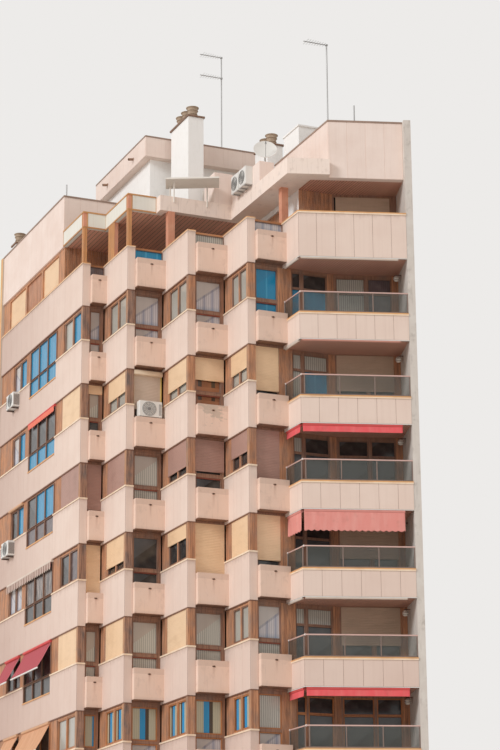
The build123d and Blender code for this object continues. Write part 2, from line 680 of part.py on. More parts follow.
def balcony_parapets():
    """Clad parapets: the low ones under glass rails and the full one at the terrace."""
    outlines = {"balcony_side_parapets": balcony_side_outline(),
                "balcony_front_parapets": balcony_front_outline()}
    for name, outline in outlines.items():
        with BuildPart() as parapets:
            prisms([outline], lowered(WINDOW_SILLS, BAND), BAND - PARAPET_DROP - CAP)
            prisms([outline], [TERRACE - BAND], BAND - CAP)
        keep(parapets, name)
    with BuildPart() as balcony_front_caps:
        prisms([balcony_front_outline()], lowered(WINDOW_SILLS, PARAPET_DROP + CAP), CAP)
        prisms([balcony_front_outline()], [TERRACE - CAP], CAP)
    keep(balcony_front_caps, "balcony_front_caps")


def rail_places():
    """Left edges of the rail posts along each balcony parapet."""
    rows = []
    for run, stop, bays in ((BALCONY_SIDE_RUN, BALCONY_SIDE_RUN.length, 1),
                            (WING_RUN, BALCONY_FRONT, RAIL_BAYS)):
        pitch = (stop - PARAPET - RAIL_POST) / bays
        rows.append((run, stop, [PARAPET + pitch * bay for bay in range(bays + 1)]))
    return rows


def rails():
    """Handrails over the low parapets and behind the terrace planters, with tinted glass."""
    middle = PARAPET / 2
    low, high = lowered(WINDOW_SILLS, PARAPET_DROP), PARAPET_DROP + RAIL_RISE - RAIL
    with BuildPart() as balcony_rails:
        for run, stop, places in rail_places():
            posts = [run.box(place, place + RAIL_POST, middle - RAIL_POST / 2, middle + RAIL_POST / 2)
                     for place in places]
            prisms(posts, low, high)
            prisms([run.box(PARAPET, stop, middle - RAIL / 2, middle + RAIL / 2)], lowered(low, -high), RAIL)
    keep(balcony_rails, "balcony_rails")
    with BuildPart() as terrace_rails:
        for step in STEP_RUNS:
            prisms([step.box(WALL, step.length, RECESS, RECESS + RAIL)], [TERRACE - TERRACE_RAIL],
                   TERRACE_RAIL)
    keep(terrace_rails, "terrace_rails")
    with BuildPart() as rail_glass:
        for run, _, places in rail_places():
            panes = [run.box(place + RAIL_POST, after, middle - GLASS / 2, middle + GLASS / 2)
                     for place, after in zip(places, places[1:])]
            prisms(panes, low, high)
        for step in STEP_RUNS:
            prisms([step.box(WALL, step.length, RECESS, RECESS + GLASS)], [TERRACE - SILL_TO_FLOOR],
                   SILL_TO_FLOOR - TERRACE_RAIL)
    keep(rail_glass, "rail_glass")


def balcony_lines():
    """Window walls behind the balconies with their post spans, along the teeth and the wing."""
    turn_x, turn_y = WINDOW_CORNER
    left = Run(BALCONY_SIDE_RUN.x, BALCONY_LINE, ALONG_X, ALONG_Y, turn_x - BALCONY_SIDE_RUN.x)
    party_x = WING_RUN.at(BALCONY_FRONT, BALCONY_DEPTH)[0]
    back = Run(turn_x, turn_y, WING_ALONG, WING_INWARD, (party_x - turn_x) / WING_ALONG[0])
    pier, stile_end, corner_pier = BALCONY_POSTS
    post, middle_post, end_pier = BACK_POSTS
    middle = back.length / 2
    left_spans = [(0, pier), (stile_end - STILE, stile_end), (left.length - corner_pier, left.length)]
    back_spans = [(0, post), (middle - middle_post / 2, middle + middle_post / 2),
                  (back.length - end_pier, back.length)]
    return [(left, left_spans), (back, back_spans)]


def balcony_windows():
    """Window walls at the back of the balconies, one along the teeth and one along the wing."""
    head = STRIP + SILL_TO_FLOOR - HEAD
    for name, (run, spans) in zip(("balcony_left_windows", "balcony_back_windows"), balcony_lines()):
        posts = [run.box(start, stop, 0, FRAME) for start, stop in spans]
        whole = [run.box(0, run.length, 0, FRAME)]
        floors = lowered(WINDOW_SILLS, SILL_TO_FLOOR)
        with BuildPart() as windows:
            prisms(posts, floors, SILL_TO_FLOOR + SLAB_BOTTOM)
            prisms(whole, floors, STILE)
            prisms(whole, lowered(floors, -head), SILL_TO_FLOOR + SLAB_BOTTOM - head)
            if name == "balcony_back_windows":
                floor = TERRACE - SILL_TO_FLOOR
                prisms(posts, [floor], ROOF_UNDERSIDE - floor)
                prisms(whole, [floor], STILE)
                prisms(whole, [EAVES - HEAD], ROOF_UNDERSIDE - EAVES + HEAD)
        keep(windows, name)


def ceilings():
    """Boarded undersides of the balconies, of the terrace roof and of the right attic."""
    balcony = [(BALCONY_SIDE_RUN.x + PARAPET, BALCONY_LINE), BALCONY_INNER,
               WING_RUN.at(BALCONY_FRONT, PARAPET), WING_RUN.at(BALCONY_FRONT, BALCONY_DEPTH),
               WINDOW_CORNER]
    right_attic = [wing_at_x(RIGHT_ATTIC_INNER, SIDE_BEAM_INNER),
                   WING_RUN.at(BALCONY_FRONT, RIGHT_ATTIC_INNER),
                   WING_RUN.at(BALCONY_FRONT, BALCONY_DEPTH), WINDOW_CORNER,
                   (SIDE_BEAM_INNER, BALCONY_LINE)]
    with BuildPart() as balcony_ceilings:
        prisms([balcony], lowered(SILLS[1:], BAND - CEILING_SET), CEILING)
        prisms([right_attic], [EAVES], CEILING)
    keep(balcony_ceilings, "balcony_ceilings")
    with BuildPart() as terrace_ceiling:
        edge = [(SIDE_BEAM_INNER, BEAM_BACK), (SIDE_BEAM_INNER, CORNER_Y + ATTIC_SETBACK),
                from_corner(POST, ATTIC_SETBACK)]
        prisms([edge + terrace_edge()], [EAVES], CEILING)
    keep(terrace_ceiling, "terrace_ceiling")


def balcony_lamps():
    """Round lamps on the party wall of each balcony."""
    behind, above = LAMP_PLACE
    centre = BALCONY_FRONT - LAMP_ARM - LAMP_RADIUS
    x, y = WING_RUN.at(centre, behind)
    with BuildPart() as balcony_lamps:
        with BuildSketch(*[Plane.XY.offset(sill + above) for sill in WINDOW_SILLS]):
            with Locations((x, y)):
                RegularPolygon(LAMP_RADIUS, LAMP_SIDES)
        extrude(amount=LAMP_HIGH)
        prisms([WING_RUN.box(centre, BALCONY_FRONT, behind - LAMP_ARM / 2, behind + LAMP_ARM / 2)],
               lowered(WINDOW_SILLS, -above), LAMP_ARM)
    keep(balcony_lamps, "balcony_lamps")


# Terrace


def terrace_edge():
    """Inner line of the fascias and the cross beam, from the attic front to the side beam."""
    first, second = CORNERS[0], CORNERS[1]
    beam_end = LEFT_FACE + CROSS_BEAM_X + BEAM
    return [(first[0] + POST, first[1] + POST), (second[0] + POST, first[1] + POST),
            (second[0] + POST, second[1] + POST), (beam_end, second[1] + POST), (beam_end, BEAM_BACK)]


def roof_slab():
    """Main roof, inside the parapets and resting on the walls and beams."""
    outline = terrace_edge() + [
        (SIDE_BEAM_INNER, BEAM_BACK), wing_at_x(RIGHT_ATTIC_INNER, SIDE_BEAM_INNER),
        WING_RUN.at(BALCONY_FRONT, RIGHT_ATTIC_INNER), PARTY_INNER,
        (REAR_FACE - WALL, CORNER_Y + LEFT_WING), from_corner(WALL, LEFT_WING),
        from_corner(WALL, ATTIC_SETBACK), from_corner(POST, ATTIC_SETBACK)]
    with BuildPart() as roof_slab:
        prisms([outline], [ROOF_UNDERSIDE], ROOF_SLAB)
    keep(roof_slab, "roof_slab")


def terrace_posts():
    """Timber posts on two tooth corners, a boarded pier and the two painted columns."""
    second = TOOTH_FRONTS[0]
    near, far = TERRACE_PIER
    with BuildPart() as terrace_posts:
        prisms([roof_rectangle(0, 0, POST, POST), roof_rectangle(second, -TOOTH_SIDES[0], POST, POST)],
               [TERRACE], ROOF + CAP - TERRACE)
        prisms([roof_rectangle(second, -far, POST, far - near)], [TERRACE], EAVES - TERRACE)
        prisms([roof_rectangle(sum(TOOTH_FRONTS[:2]), CROSS_BEAM_Y, COLUMN, COLUMN)], [TERRACE],
               EAVES - TERRACE)
        corner = BALCONY_SIDE_RUN.x
        floor = TERRACE - SILL_TO_FLOOR
        prisms([rectangle(corner, BALCONY_LINE, corner + COLUMN, BALCONY_LINE + COLUMN)], [floor],
               EAVES - floor)
    keep(terrace_posts, "terrace_posts")


def roof_edges():
    """Fascias over the first two teeth and the concrete beams beside them."""
    first_front, first_side = TOOTH_FRONTS[0], TOOTH_SIDES[0]
    with BuildPart() as eaves_fascias:
        prisms([roof_rectangle(0, POST, POST, ATTIC_SETBACK - POST),
                roof_rectangle(POST, 0, first_front - POST, POST),
                roof_rectangle(first_front, POST - first_side, POST, first_side),
                roof_rectangle(first_front + POST, -first_side, CROSS_BEAM_X - first_front - POST, POST)],
               [EAVES], FASCIA + CAP)
    keep(eaves_fascias, "eaves_fascias")
    turn = terrace_edge()[-2:]
    start = LEFT_FACE + CROSS_BEAM_X
    front = CORNER_Y + CROSS_BEAM_Y
    with BuildPart() as cross_beam:
        outline = [(start, front), (SIDE_BEAM_OUTER, front), (SIDE_BEAM_OUTER, BEAM_BACK), turn[1],
                   turn[0], (start, turn[0][1])]
        prisms([outline], [EAVES], FASCIA)
    keep(cross_beam, "cross_beam")
    with BuildPart() as side_beam:
        outline = [(SIDE_BEAM_OUTER, BEAM_BACK), wing_at_x(0, SIDE_BEAM_OUTER),
                   WING_RUN.at(RIGHT_ATTIC_U, 0), WING_RUN.at(RIGHT_ATTIC_U, RIGHT_ATTIC_INNER),
                   wing_at_x(RIGHT_ATTIC_INNER, SIDE_BEAM_INNER), (SIDE_BEAM_INNER, BEAM_BACK)]
        prisms([outline], [EAVES], FASCIA)
    keep(side_beam, "side_beam")


def attic_runs():
    """Terrace walls of the attic, each with its openings: the back, the side and the short front."""
    front = Run(LEFT_FACE + FRAME_BACK + GLASS, CORNER_Y + ATTIC_SETBACK, ALONG_X, ALONG_Y,
                SIDE_BEAM_INNER + ATTIC_WALL - LEFT_FACE - FRAME_BACK - GLASS)
    side = Run(SIDE_BEAM_INNER, front.y, (0.0, -1.0), ALONG_X, front.y - BALCONY_LINE)
    short = Run(SIDE_BEAM_INNER, BALCONY_LINE, ALONG_X, ALONG_Y, WINDOW_CORNER[0] - SIDE_BEAM_INNER)
    return [(front, ATTIC_OPENINGS[:1]), (side, ATTIC_OPENINGS[1:]), (short, ())]


def attic_walls():
    """White walls behind the terrace with glazed doors down to its floor."""
    floor = TERRACE - SILL_TO_FLOOR
    with BuildPart() as attic_walls:
        prisms([run.box(0, run.length, 0, ATTIC_WALL) for run, _ in attic_runs()], [floor],
               ROOF_UNDERSIDE - floor)
        for run, openings in attic_runs():
            for start, stop in openings:
                prisms([run.box(start, stop, 0, ATTIC_WALL)], [floor], ATTIC_HEAD, Mode.SUBTRACT)
    keep(attic_walls, "attic_walls")
    with BuildPart() as attic_doors:
        for run, openings in attic_runs():
            if openings:
                framed(run, openings, [floor], ATTIC_HEAD, STILE)
                for start, stop in openings:
                    prisms([run.box(start + STILE, stop - STILE, STILE, STILE + GLASS)],
                           [floor + STILE], ATTIC_HEAD - STILE - HEAD)
    keep(attic_doors, "attic_doors")


def attic_parapet_pieces():
    """Plans and lower edges of the attic parapets: left side, its return, right front and its side."""
    corner = WING_RUN.at(RIGHT_ATTIC_U, RIGHT_ATTIC_V)
    inner_x = corner[0] + WALL
    back = CORNER_Y + RIGHT_ATTIC_BACK
    lift_wall = LIFT_HOUSE[0] + LIFT_EAVES
    left = [(roof_rectangle(0, ATTIC_SETBACK, WALL, LEFT_WING - ATTIC_SETBACK), EAVES),
            (roof_rectangle(WALL, ATTIC_SETBACK, lift_wall - WALL, WALL), ROOF)]
    right = [(WING_RUN.box(RIGHT_ATTIC_U, BALCONY_FRONT, RIGHT_ATTIC_V, RIGHT_ATTIC_INNER), EAVES),
             ([(corner[0], back), corner, wing_at_x(RIGHT_ATTIC_V, inner_x), (inner_x, back)], ROOF)]
    return [(left, LEFT_TOP), (right, RIGHT_TOP)]


def attic_parapets():
    """Clad parapets of the left and right attics, and their copings."""
    with BuildPart() as attic_parapets:
        for pieces, top in attic_parapet_pieces():
            for outline, low in pieces:
                prisms([outline], [low], top - low)
    keep(attic_parapets, "attic_parapets")
    with BuildPart() as attic_copings:
        for pieces, top in attic_parapet_pieces():
            prisms([outline for outline, _ in pieces], [top], CAP)
    keep(attic_copings, "attic_copings")


# Roof


def lift_house():
    """Lift house with a door at its back and a deep parapet roof."""
    x, y, wide, deep = LIFT_HOUSE
    eaves, wall = LIFT_EAVES, LIFT_WALL
    door_wide, door_high = LIFT_DOOR
    x_inner, y_inner = x + eaves, y + eaves
    wide_inner, deep_inner = wide - 2 * eaves, deep - 2 * eaves
    door_x, door_y = x_inner + wide_inner - wall, y_inner + (deep_inner - door_wide) / 2
    with BuildPart() as lift_house_walls:
        prisms([roof_rectangle(x_inner, y_inner, wide_inner, deep_inner)], [ROOF], LIFT_HOUSE_HIGH)
        prisms([roof_rectangle(x_inner + wall, y_inner + wall, wide_inner - 2 * wall, deep_inner - 2 * wall)],
               [ROOF], LIFT_HOUSE_HIGH, Mode.SUBTRACT)
        prisms([roof_rectangle(door_x, door_y, wall, door_wide)], [ROOF], door_high, Mode.SUBTRACT)
    keep(lift_house_walls, "lift_house_walls")
    with BuildPart() as lift_house_door:
        prisms([roof_rectangle(door_x + wall - FRAME_BACK, door_y, FRAME, door_wide)], [ROOF], door_high)
    keep(lift_house_door, "lift_house_door")
    low, edge = ROOF + LIFT_HOUSE_HIGH, LIFT_PARAPET
    with BuildPart() as lift_house_roof:
        prisms([roof_rectangle(x, y, wide, deep)], [low], LIFT_ROOF)
        prisms([roof_rectangle(x + edge, y + edge, wide - 2 * edge, deep - 2 * edge)], [low + LIFT_DECK],
               LIFT_ROOF - LIFT_DECK, Mode.SUBTRACT)
    keep(lift_house_roof, "lift_house_roof")


def chimney_stacks():
    """Rendered stacks with thin projecting copings."""
    lip = STACK_LIP
    with BuildPart() as chimney_stacks:
        for x, y, wide, deep, high, _ in STACKS.values():
            prisms([roof_rectangle(x, y, wide, deep)], [ROOF], high)
            prisms([roof_rectangle(x - lip, y - lip, wide + 2 * lip, deep + 2 * lip)], [ROOF + high],
                   STACK_CAP)
    keep(chimney_stacks, "chimney_stacks")


def pot_sections():
    """Radius and height up the outside of a flared chimney pot with ring ribs."""
    flare = (POT_RADIUS - POT_FOOT) / POT_HIGH
    sections = [(POT_FOOT, 0.0)]
    for rib in range(1, POT_RIBS + 1):
        low = POT_HIGH * rib / (POT_RIBS + 1)
        radius = POT_FOOT + flare * low
        sections += [(radius, low), (radius + POT_RIB, low + POT_RIB), (radius, low + POT_RIB * 2)]
    lip = POT_HIGH - POT_RIB
    return sections + [(POT_FOOT + flare * lip, lip), (POT_RADIUS + POT_RIB, POT_HIGH)]


def pot_places():
    """Foot of every chimney pot, in rows along the stacks."""
    places = []
    for x, y, wide, deep, high, pots in STACKS.values():
        for pot in range(pots):
            shift = (pot - (pots - 1) / 2) * POT_PITCH
            places.append((*from_corner(x + wide / 2, y + deep / 2 + shift), ROOF + high + STACK_CAP))
    return places


def chimney_pots():
    """Flared clay pots, open at both ends."""
    sections = pot_sections()
    bore = [(POT_FOOT - POT_WALL, 0.0), (POT_RADIUS - POT_WALL, POT_HIGH)]
    with BuildPart() as chimney_pots:
        for place in pot_places():
            foot = Plane(origin=place)
            for below, above in zip(sections, sections[1:]):
                lofted_ring(foot, below, above, Mode.ADD)
            lofted_ring(foot, *bore, Mode.SUBTRACT)
    keep(chimney_pots, "chimney_pots")


def lofted_ring(foot, below, above, mode):
    """Loft between two many-sided rings, each a radius and a height above a foot plane."""
    with BuildSketch(foot.offset(below[1])) as lower:
        RegularPolygon(below[0], POT_SIDES)
    with BuildSketch(foot.offset(above[1])) as upper:
        RegularPolygon(above[0], POT_SIDES)
    loft([lower.sketch, upper.sketch], ruled=True, mode=mode)


def service_boxes():
    """Clad service box along the side beam and the tank box behind the cross beam."""
    with BuildPart() as service_boxes:
        for x, y, wide, deep, high in (SERVICE_BOX, TANK_BOX):
            prisms([roof_rectangle(x, y, wide, deep)], [ROOF], high)
    keep(service_boxes, "service_boxes")


def coolers():
    """Cooling units on the service box, on the left wing and on one planter."""
    deep, long, high = COOLER
    small_deep, small_long, small_high = SMALL_COOLER
    x, y, _, _, _ = SERVICE_BOX
    first = y + small_long
    second = first + small_long + COOLER_GAP
    step = STEP_RUNS[1]
    with BuildPart() as coolers:
        prisms([roof_rectangle(x - small_deep, place, small_deep, small_long) for place in (first, second)],
               [ROOF + COOLER_GAP], small_high)
        for level, start in LEFT_COOLERS:
            prisms([LEFT_RUN.box(start, start + long, -deep, 0)], [SILLS[level] - CAP - high], high)
        start = step.length - COOLER_GAP * 2 - long
        prisms([step.box(start, start + long, -PLANTER_OUT, deep - PLANTER_OUT)],
               [SILLS[PLANTER_COOLER] - PLANTER_DROP], high)
        chamfer(coolers.edges().filter_by(Axis.Z), length=COOLER_EDGE)
    keep(coolers, "coolers")


def roof_panel():
    """Tilted flat panel on four struts, two of them on the face of the cross beam."""
    x, y, above = PANEL_CENTRE
    turn, tilt = radians(PANEL_TURN), radians(PANEL_TILT)
    centre = Plane(origin=(*from_corner(x, y), ROOF + above))
    with BuildPart() as roof_panel:
        for place in STRUT_PLACES:
            for foot, low in ((CROSS_BEAM_Y - STRUT, EAVES + STRUT_FOOT), (CROSS_BEAM_Y + STRUT_FOOT, ROOF)):
                across = (foot - y) * cos(turn) - (place - x) * sin(turn)
                prisms([roof_rectangle(place, foot, STRUT, STRUT)], [low],
                       ROOF + above + across * tan(tilt) - low)
        with BuildSketch(centre.rotated((0, 0, PANEL_TURN)).rotated((PANEL_TILT, 0, 0))):
            Rectangle(PANEL[0], PANEL[1])
        extrude(amount=PANEL[2] / 2, both=True)
    keep(roof_panel, "roof_panel")


def rod(start, direction, radius, length):
    """Add a many-sided rod to the open piece."""
    with BuildSketch(Plane(origin=start, z_dir=direction)) as section:
        RegularPolygon(radius, ROD_SIDES)
    extrude(section.sketch, amount=length)


def mast(x, y, low, high, heads):
    """Add a mast with an aerial at each height in heads below its top."""
    rod((x, y, low), (0, 0, 1), MAST_RADIUS, high)
    for head in heads:
        z = low + high - head
        with BuildSketch(Plane(origin=(x, y, z), z_dir=(-1, 0, 0))) as section:
            Rectangle(BOOM_SECTION, BOOM_SECTION)
        extrude(section.sketch, amount=BOOM)
        for element in range(ELEMENTS):
            place = x - BOOM * (element + 1) / (ELEMENTS + 1)
            rod((place, y - ELEMENT / 2, z), (0, 1, 0), ELEMENT_RADIUS, ELEMENT)


def aerials():
    """Aerial masts on the lift house and the right attic, and two short poles."""
    x, y, high = TALL_MAST
    right_corner = WING_RUN.at(RIGHT_ATTIC_U, RIGHT_ATTIC_V)
    along, pole_high = SHORT_POLE
    left_x, left_y = from_corner(WALL / 2, ATTIC_SETBACK + WALL / 2)
    top = RIGHT_TOP + CAP
    with BuildPart() as aerials:
        mast(*from_corner(x, y), ROOF + LIFT_HOUSE_HIGH + LIFT_DECK, high + LIFT_ROOF - LIFT_DECK,
             (BOOM_SECTION, BOOM))
        mast(right_corner[0] + WALL / 2, right_corner[1] + WALL, top, FRONT_MAST, (BOOM_SECTION,))
        rod((*WING_RUN.at(along, RIGHT_ATTIC_V + WALL / 2), top), (0, 0, 1), MAST_RADIUS, pole_high)
        rod((left_x, left_y, LEFT_TOP + CAP), (0, 0, 1), MAST_RADIUS, CORNER_POLE)
    keep(aerials, "aerials")


def roof_dish():
    """Dish on a short pole standing on the service box."""
    x, y, high = DISH_POLE
    low = ROOF + SERVICE_BOX[-1]
    axis = Vector(-sin(radians(DISH_TURN)), -cos(radians(DISH_TURN)), tan(radians(DISH_LIFT))).normalized()
    head = Vector(*from_corner(x, y), low + high)
    side = Vector(0, 0, 1).cross(axis).normalized()
    face = Plane(origin=head + axis * MAST_RADIUS * 2, x_dir=side, z_dir=side.cross(axis))
    with BuildPart() as roof_dish:
        rod((*from_corner(x, y), low), (0, 0, 1), MAST_RADIUS, high + MAST_RADIUS)
        rod(head, axis, MAST_RADIUS, MAST_RADIUS * 2 + DISH_SKIN / 2)
        with BuildSketch(face):
            with BuildLine():
                front = [(MAST_RADIUS / 2, DISH_SKIN), (DISH_RADIUS / 2, DISH_SKIN + DISH_DEPTH / 4),
                         (DISH_RADIUS, DISH_SKIN + DISH_DEPTH)]
                back = [(radius, height - DISH_SKIN) for radius, height in reversed(front)]
                Polyline(*front, *back, close=True)
            make_face()
        revolve(axis=Axis(face.origin, axis))
    keep(roof_dish, "roof_dish")


# Awnings


def awning_slope(start, stop, top):
    """Add an awning let down over the wide window, with its front bar."""
    x, y = LEFT_RUN.at(start, FRAME_SET)
    out, fall = FRAME_SET + AWNING_OUT, AWNING_FALL
    outline = [(0, 0), (-out, -fall), (-out, -fall - AWNING_BAR), (AWNING_BAR - out, -fall - AWNING_BAR),
               (AWNING_BAR - out, -fall), (0, -AWNING_SHEET * 2)]
    with BuildSketch(Plane(origin=(x, y, top), x_dir=(1, 0, 0), z_dir=(0, -1, 0))) as section:
        with BuildLine():
            Polyline(*outline, close=True)
        make_face()
    extrude(section.sketch, amount=start - stop)


def awnings():
    """Canvas awnings: rolled up, hanging as a valance or let down."""
    corner, wide, small = LEFT_BAYS
    front, back = FRAME_SET - AWNING_BOX, FRAME_SET
    with BuildPart() as awnings:
        for level, start, stop in ((ROLLED_WIDE, *wide), (ROLLED_SMALL, *small),
                                   (VALANCE_LEVEL, wide[0], small[1])):
            prisms([LEFT_RUN.box(start, stop, front, back)], [SILLS[level] + STRIP - AWNING_BOX], AWNING_BOX)
        prisms([LEFT_RUN.box(wide[0], small[1], front, front + AWNING_SHEET)],
               [SILLS[VALANCE_LEVEL] + STRIP - VALANCE], VALANCE - AWNING_BOX)
        for level in OPEN_AWNINGS:
            awning_slope(*wide, SILLS[level] + STRIP)
        for run, (start, stop) in ((WING_RUN, BALCONY_AWNING), (BALCONY_SIDE_RUN, BALCONY_SIDE_AWNING)):
            for level in BALCONY_ROLLED:
                prisms([run.box(start, stop, 0, BALCONY_ROLL)], [SILLS[level] + STRIP - BALCONY_ROLL],
                       BALCONY_ROLL)
            for level, drop in BALCONY_VALANCES.items():
                top = SILLS[level] + STRIP
                prisms([run.box(start, stop, 0, PARAPET)], [top - AWNING_BOX], AWNING_BOX)
                prisms([run.box(start, stop, 0, AWNING_SHEET)], [top - drop], drop - AWNING_BOX)
    keep(awnings, "awnings")


os.makedirs("parts", exist_ok=True)
floor_slabs()
ground_floor_slab()
party_walls()
rear_wall()
ground_walls()
ground_joinery()
left_wing_bands()
tooth_bands()
band_caps()
planters()
planter_frames()
left_wing_frames()
side_frames()
window_glass()
corner_posts()
attic_shutters()
shutters()
balcony_parapets()
rails()
balcony_windows()
ceilings()
balcony_lamps()
roof_slab()
terrace_posts()
roof_edges()
attic_walls()
attic_parapets()
lift_house()
chimney_stacks()
chimney_pots()
service_boxes()
coolers()
roof_panel()
aerials()
roof_dish()
awnings()
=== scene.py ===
"""Dresses the corner block of flats: cladding, timber, glass, shutters, canvas and roof fittings."""

import logging
import math
from dataclasses import dataclass
from enum import Enum

import bpy
import numpy as np
from mathutils import Matrix


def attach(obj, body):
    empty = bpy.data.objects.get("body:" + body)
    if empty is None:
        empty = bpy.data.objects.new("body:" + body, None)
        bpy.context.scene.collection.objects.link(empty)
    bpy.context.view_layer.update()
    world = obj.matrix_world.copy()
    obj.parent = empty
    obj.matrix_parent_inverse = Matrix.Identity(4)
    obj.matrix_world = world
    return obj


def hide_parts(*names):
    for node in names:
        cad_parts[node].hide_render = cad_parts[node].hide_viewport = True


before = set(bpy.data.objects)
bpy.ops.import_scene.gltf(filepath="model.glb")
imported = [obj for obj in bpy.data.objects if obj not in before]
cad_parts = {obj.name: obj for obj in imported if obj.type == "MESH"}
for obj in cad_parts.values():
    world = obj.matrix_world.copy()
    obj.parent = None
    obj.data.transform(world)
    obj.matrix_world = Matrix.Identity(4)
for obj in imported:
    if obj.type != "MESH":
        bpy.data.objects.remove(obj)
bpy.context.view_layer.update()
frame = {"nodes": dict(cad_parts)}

LOG = logging.getLogger("apartment_block")
Array = np.ndarray
Pair = tuple[float, float]
Value = Array | float
Socket = bpy.types.NodeSocket
BODY = "root"
UP = (0.0, 0.0, 1.0)

# Ways of a face, along it and into the building
FRONT = ((1.0, 0.0), (0.0, 1.0))
SIDE = ((0.0, 1.0), (1.0, 0.0))
FAR_SIDE = ((0.0, 1.0), (-1.0, 0.0))
REAR = ((1.0, 0.0), (0.0, -1.0))


# Plan of the block, in metres


def at(s: Value, t: Value, z: Value) -> Array:
    """Points from arrays that broadcast, (points, 3)."""
    return np.stack(np.broadcast_arrays(s, t, z), axis=-1).reshape(-1, 3)


@dataclass(frozen=True)
class Run:
    """A straight stretch of facade: s runs along it, t into the building and z up."""

    x: float
    y: float
    along: Pair
    inward: Pair
    length: float = 0.0

    def plan(self, s: Value, t: Value) -> Pair:
        """Plan point s along the run and t into the building."""
        return (self.x + self.along[0] * s + self.inward[0] * t,
                self.y + self.along[1] * s + self.inward[1] * t)

    def place(self, points: Array) -> Array:
        """Turn (s, t, z) points into (x, y, z)."""
        s, t, z = np.moveaxis(np.asarray(points, float), -1, 0)
        return np.stack([*self.plan(s, t), z], axis=-1)

    def spot(self, s: Value, t: Value, z: Value) -> Array:
        """Points in space from arrays that broadcast, (points, 3)."""
        return self.place(at(s, t, z))


@dataclass(frozen=True)
class Plan:
    """Sizes in metres that the sub-assemblies share, as the part's source has them.

    The near, far and back piers are the boarded ones on the window walls of the balconies.
    """

    storey: float = 2.95
    floors: int = 9
    first_sill: float = 5.2
    band: float = 1.67
    cap: float = 0.05
    sill_to_floor: float = 1.0
    attic_strip: float = 1.35
    fascia: float = 0.58
    left_face: float = -6.25
    rear_face: float = 6.25
    corner_y: float = -0.5
    sides: tuple[float, ...] = (2.36, 2.33, 1.98)
    fronts: tuple[float, ...] = (0.87, 1.39, 1.42, 1.39)
    clad_return: float = 0.29
    recess: float = 0.16
    left_wing: float = 9.9
    wall: float = 0.25
    turn: float = math.radians(17.7)
    balcony_side: float = 1.21
    balcony_front: float = 3.75
    balcony_depth: float = 1.9
    parapet: float = 0.12
    parapet_drop: float = 0.7
    frame_set: float = 0.06
    frame: float = 0.07
    stile: float = 0.06
    head: float = 0.1
    post: float = 0.2
    boarded: float = 0.52
    jambs: tuple[float, ...] = (0.1, 0.1, 0.1, 0.2)
    near_pier: float = 0.33
    far_pier: float = 0.26
    back_pier: float = 0.25

    def corners(self) -> list[Pair]:
        """Outer corners of the teeth, with the corner of the balconies last."""
        found = [(self.left_face, self.corner_y)]
        for front, side in zip(self.fronts, self.sides):
            found.append((found[-1][0] + front, found[-1][1] - side))
        x, y = found[-1]
        return [*found, (x + self.fronts[-1], y - self.balcony_side)]

    def teeth(self) -> tuple[list[Run], list[Run]]:
        """Long side of each tooth, the balcony side last, and short front of each tooth."""
        pairs = list(zip(self.corners(), self.corners()[1:]))
        return ([Run(*here, *SIDE, before[1] + self.recess - here[1]) for before, here in pairs],
                [Run(*here, *FRONT, after[0] - here[0]) for here, after in pairs])

    def wing(self) -> Run:
        """Front of the turned right wing."""
        cosine, sine = math.cos(self.turn), math.sin(self.turn)
        return Run(*self.corners()[-1], (cosine, -sine), (sine, cosine), self.balcony_front)

    def balconies(self) -> tuple[Run, Run]:
        """Window walls behind the balconies, one along the teeth and one along the wing."""
        wing, corners = self.wing(), self.corners()
        start, line = corners[-1][0], corners[-2][1] + self.recess
        s = (wing.y + wing.inward[1] * self.balcony_depth - line) / -wing.along[1]
        x, y = wing.plan(s, self.balcony_depth)
        return (Run(start, line, *FRONT, x - start),
                Run(x, y, wing.along, wing.inward, self.balcony_front - s))


BLOCK = Plan()
SILLS = BLOCK.first_sill + BLOCK.storey * np.arange(BLOCK.floors)
STRIP = BLOCK.storey - BLOCK.band
HEADS = SILLS + STRIP
WINDOWS = SILLS[:-1]
FLOORS = WINDOWS - BLOCK.sill_to_floor
TERRACE = float(SILLS[-1])
TERRACE_FLOOR = TERRACE - BLOCK.sill_to_floor
EAVES = TERRACE + BLOCK.attic_strip
ROOF = EAVES + BLOCK.fascia
BAND_FEET = SILLS - BLOCK.band
BALCONY_TOPS = np.append(WINDOWS - BLOCK.parapet_drop, TERRACE)
CORNERS = BLOCK.corners()
SIDES, STEPS = BLOCK.teeth()
LEFT = Run(*CORNERS[0], *SIDE, BLOCK.left_wing)
WING = BLOCK.wing()
BALCONY_LEFT, BALCONY_BACK = BLOCK.balconies()
CORNER_BAY, WIDE_BAY, SMALL_BAY = LEFT_BAYS = ((BLOCK.post, 2.21), (2.94, 6.10), (6.66, 8.34))
LEFT_DROP = 0.68
SETBACK = 2.3


def from_corner(x: float, y: float) -> Pair:
    """Roof pieces are set out from the first tooth corner."""
    return BLOCK.left_face + x, BLOCK.corner_y + y


def walked(step: int) -> list[Pair]:
    """Path round a tooth corner, from the back of its long side to the end of its clad return."""
    side = (LEFT, *SIDES)[step]
    return [side.plan(side.length, 0.0), (side.x, side.y), STEPS[step].plan(BLOCK.clad_return, 0.0)]


# Path round the balcony parapets, from the planter window to the party wall
BALCONY_PATH = [SIDES[-1].plan(SIDES[-1].length, 0.0), CORNERS[-1], WING.plan(BLOCK.balcony_front, 0.0)]


# Meshes


def circle(sides: int, turn: float = 2 * np.pi) -> Array:
    """Angles of a ring of corners."""
    return np.linspace(0, turn, sides, endpoint=False)


def outline(left: float, right: float, low: float, high: float) -> Array:
    """Four corners of a rectangle, up its left side first."""
    return np.array([(left, low), (left, high), (right, high), (right, low)])


def hoop(inner: float, outer: float, low: float, high: float) -> Array:
    """Four corners of a ring's rectangle, out along its foot first."""
    return outline(low, high, inner, outer)[:, ::-1]


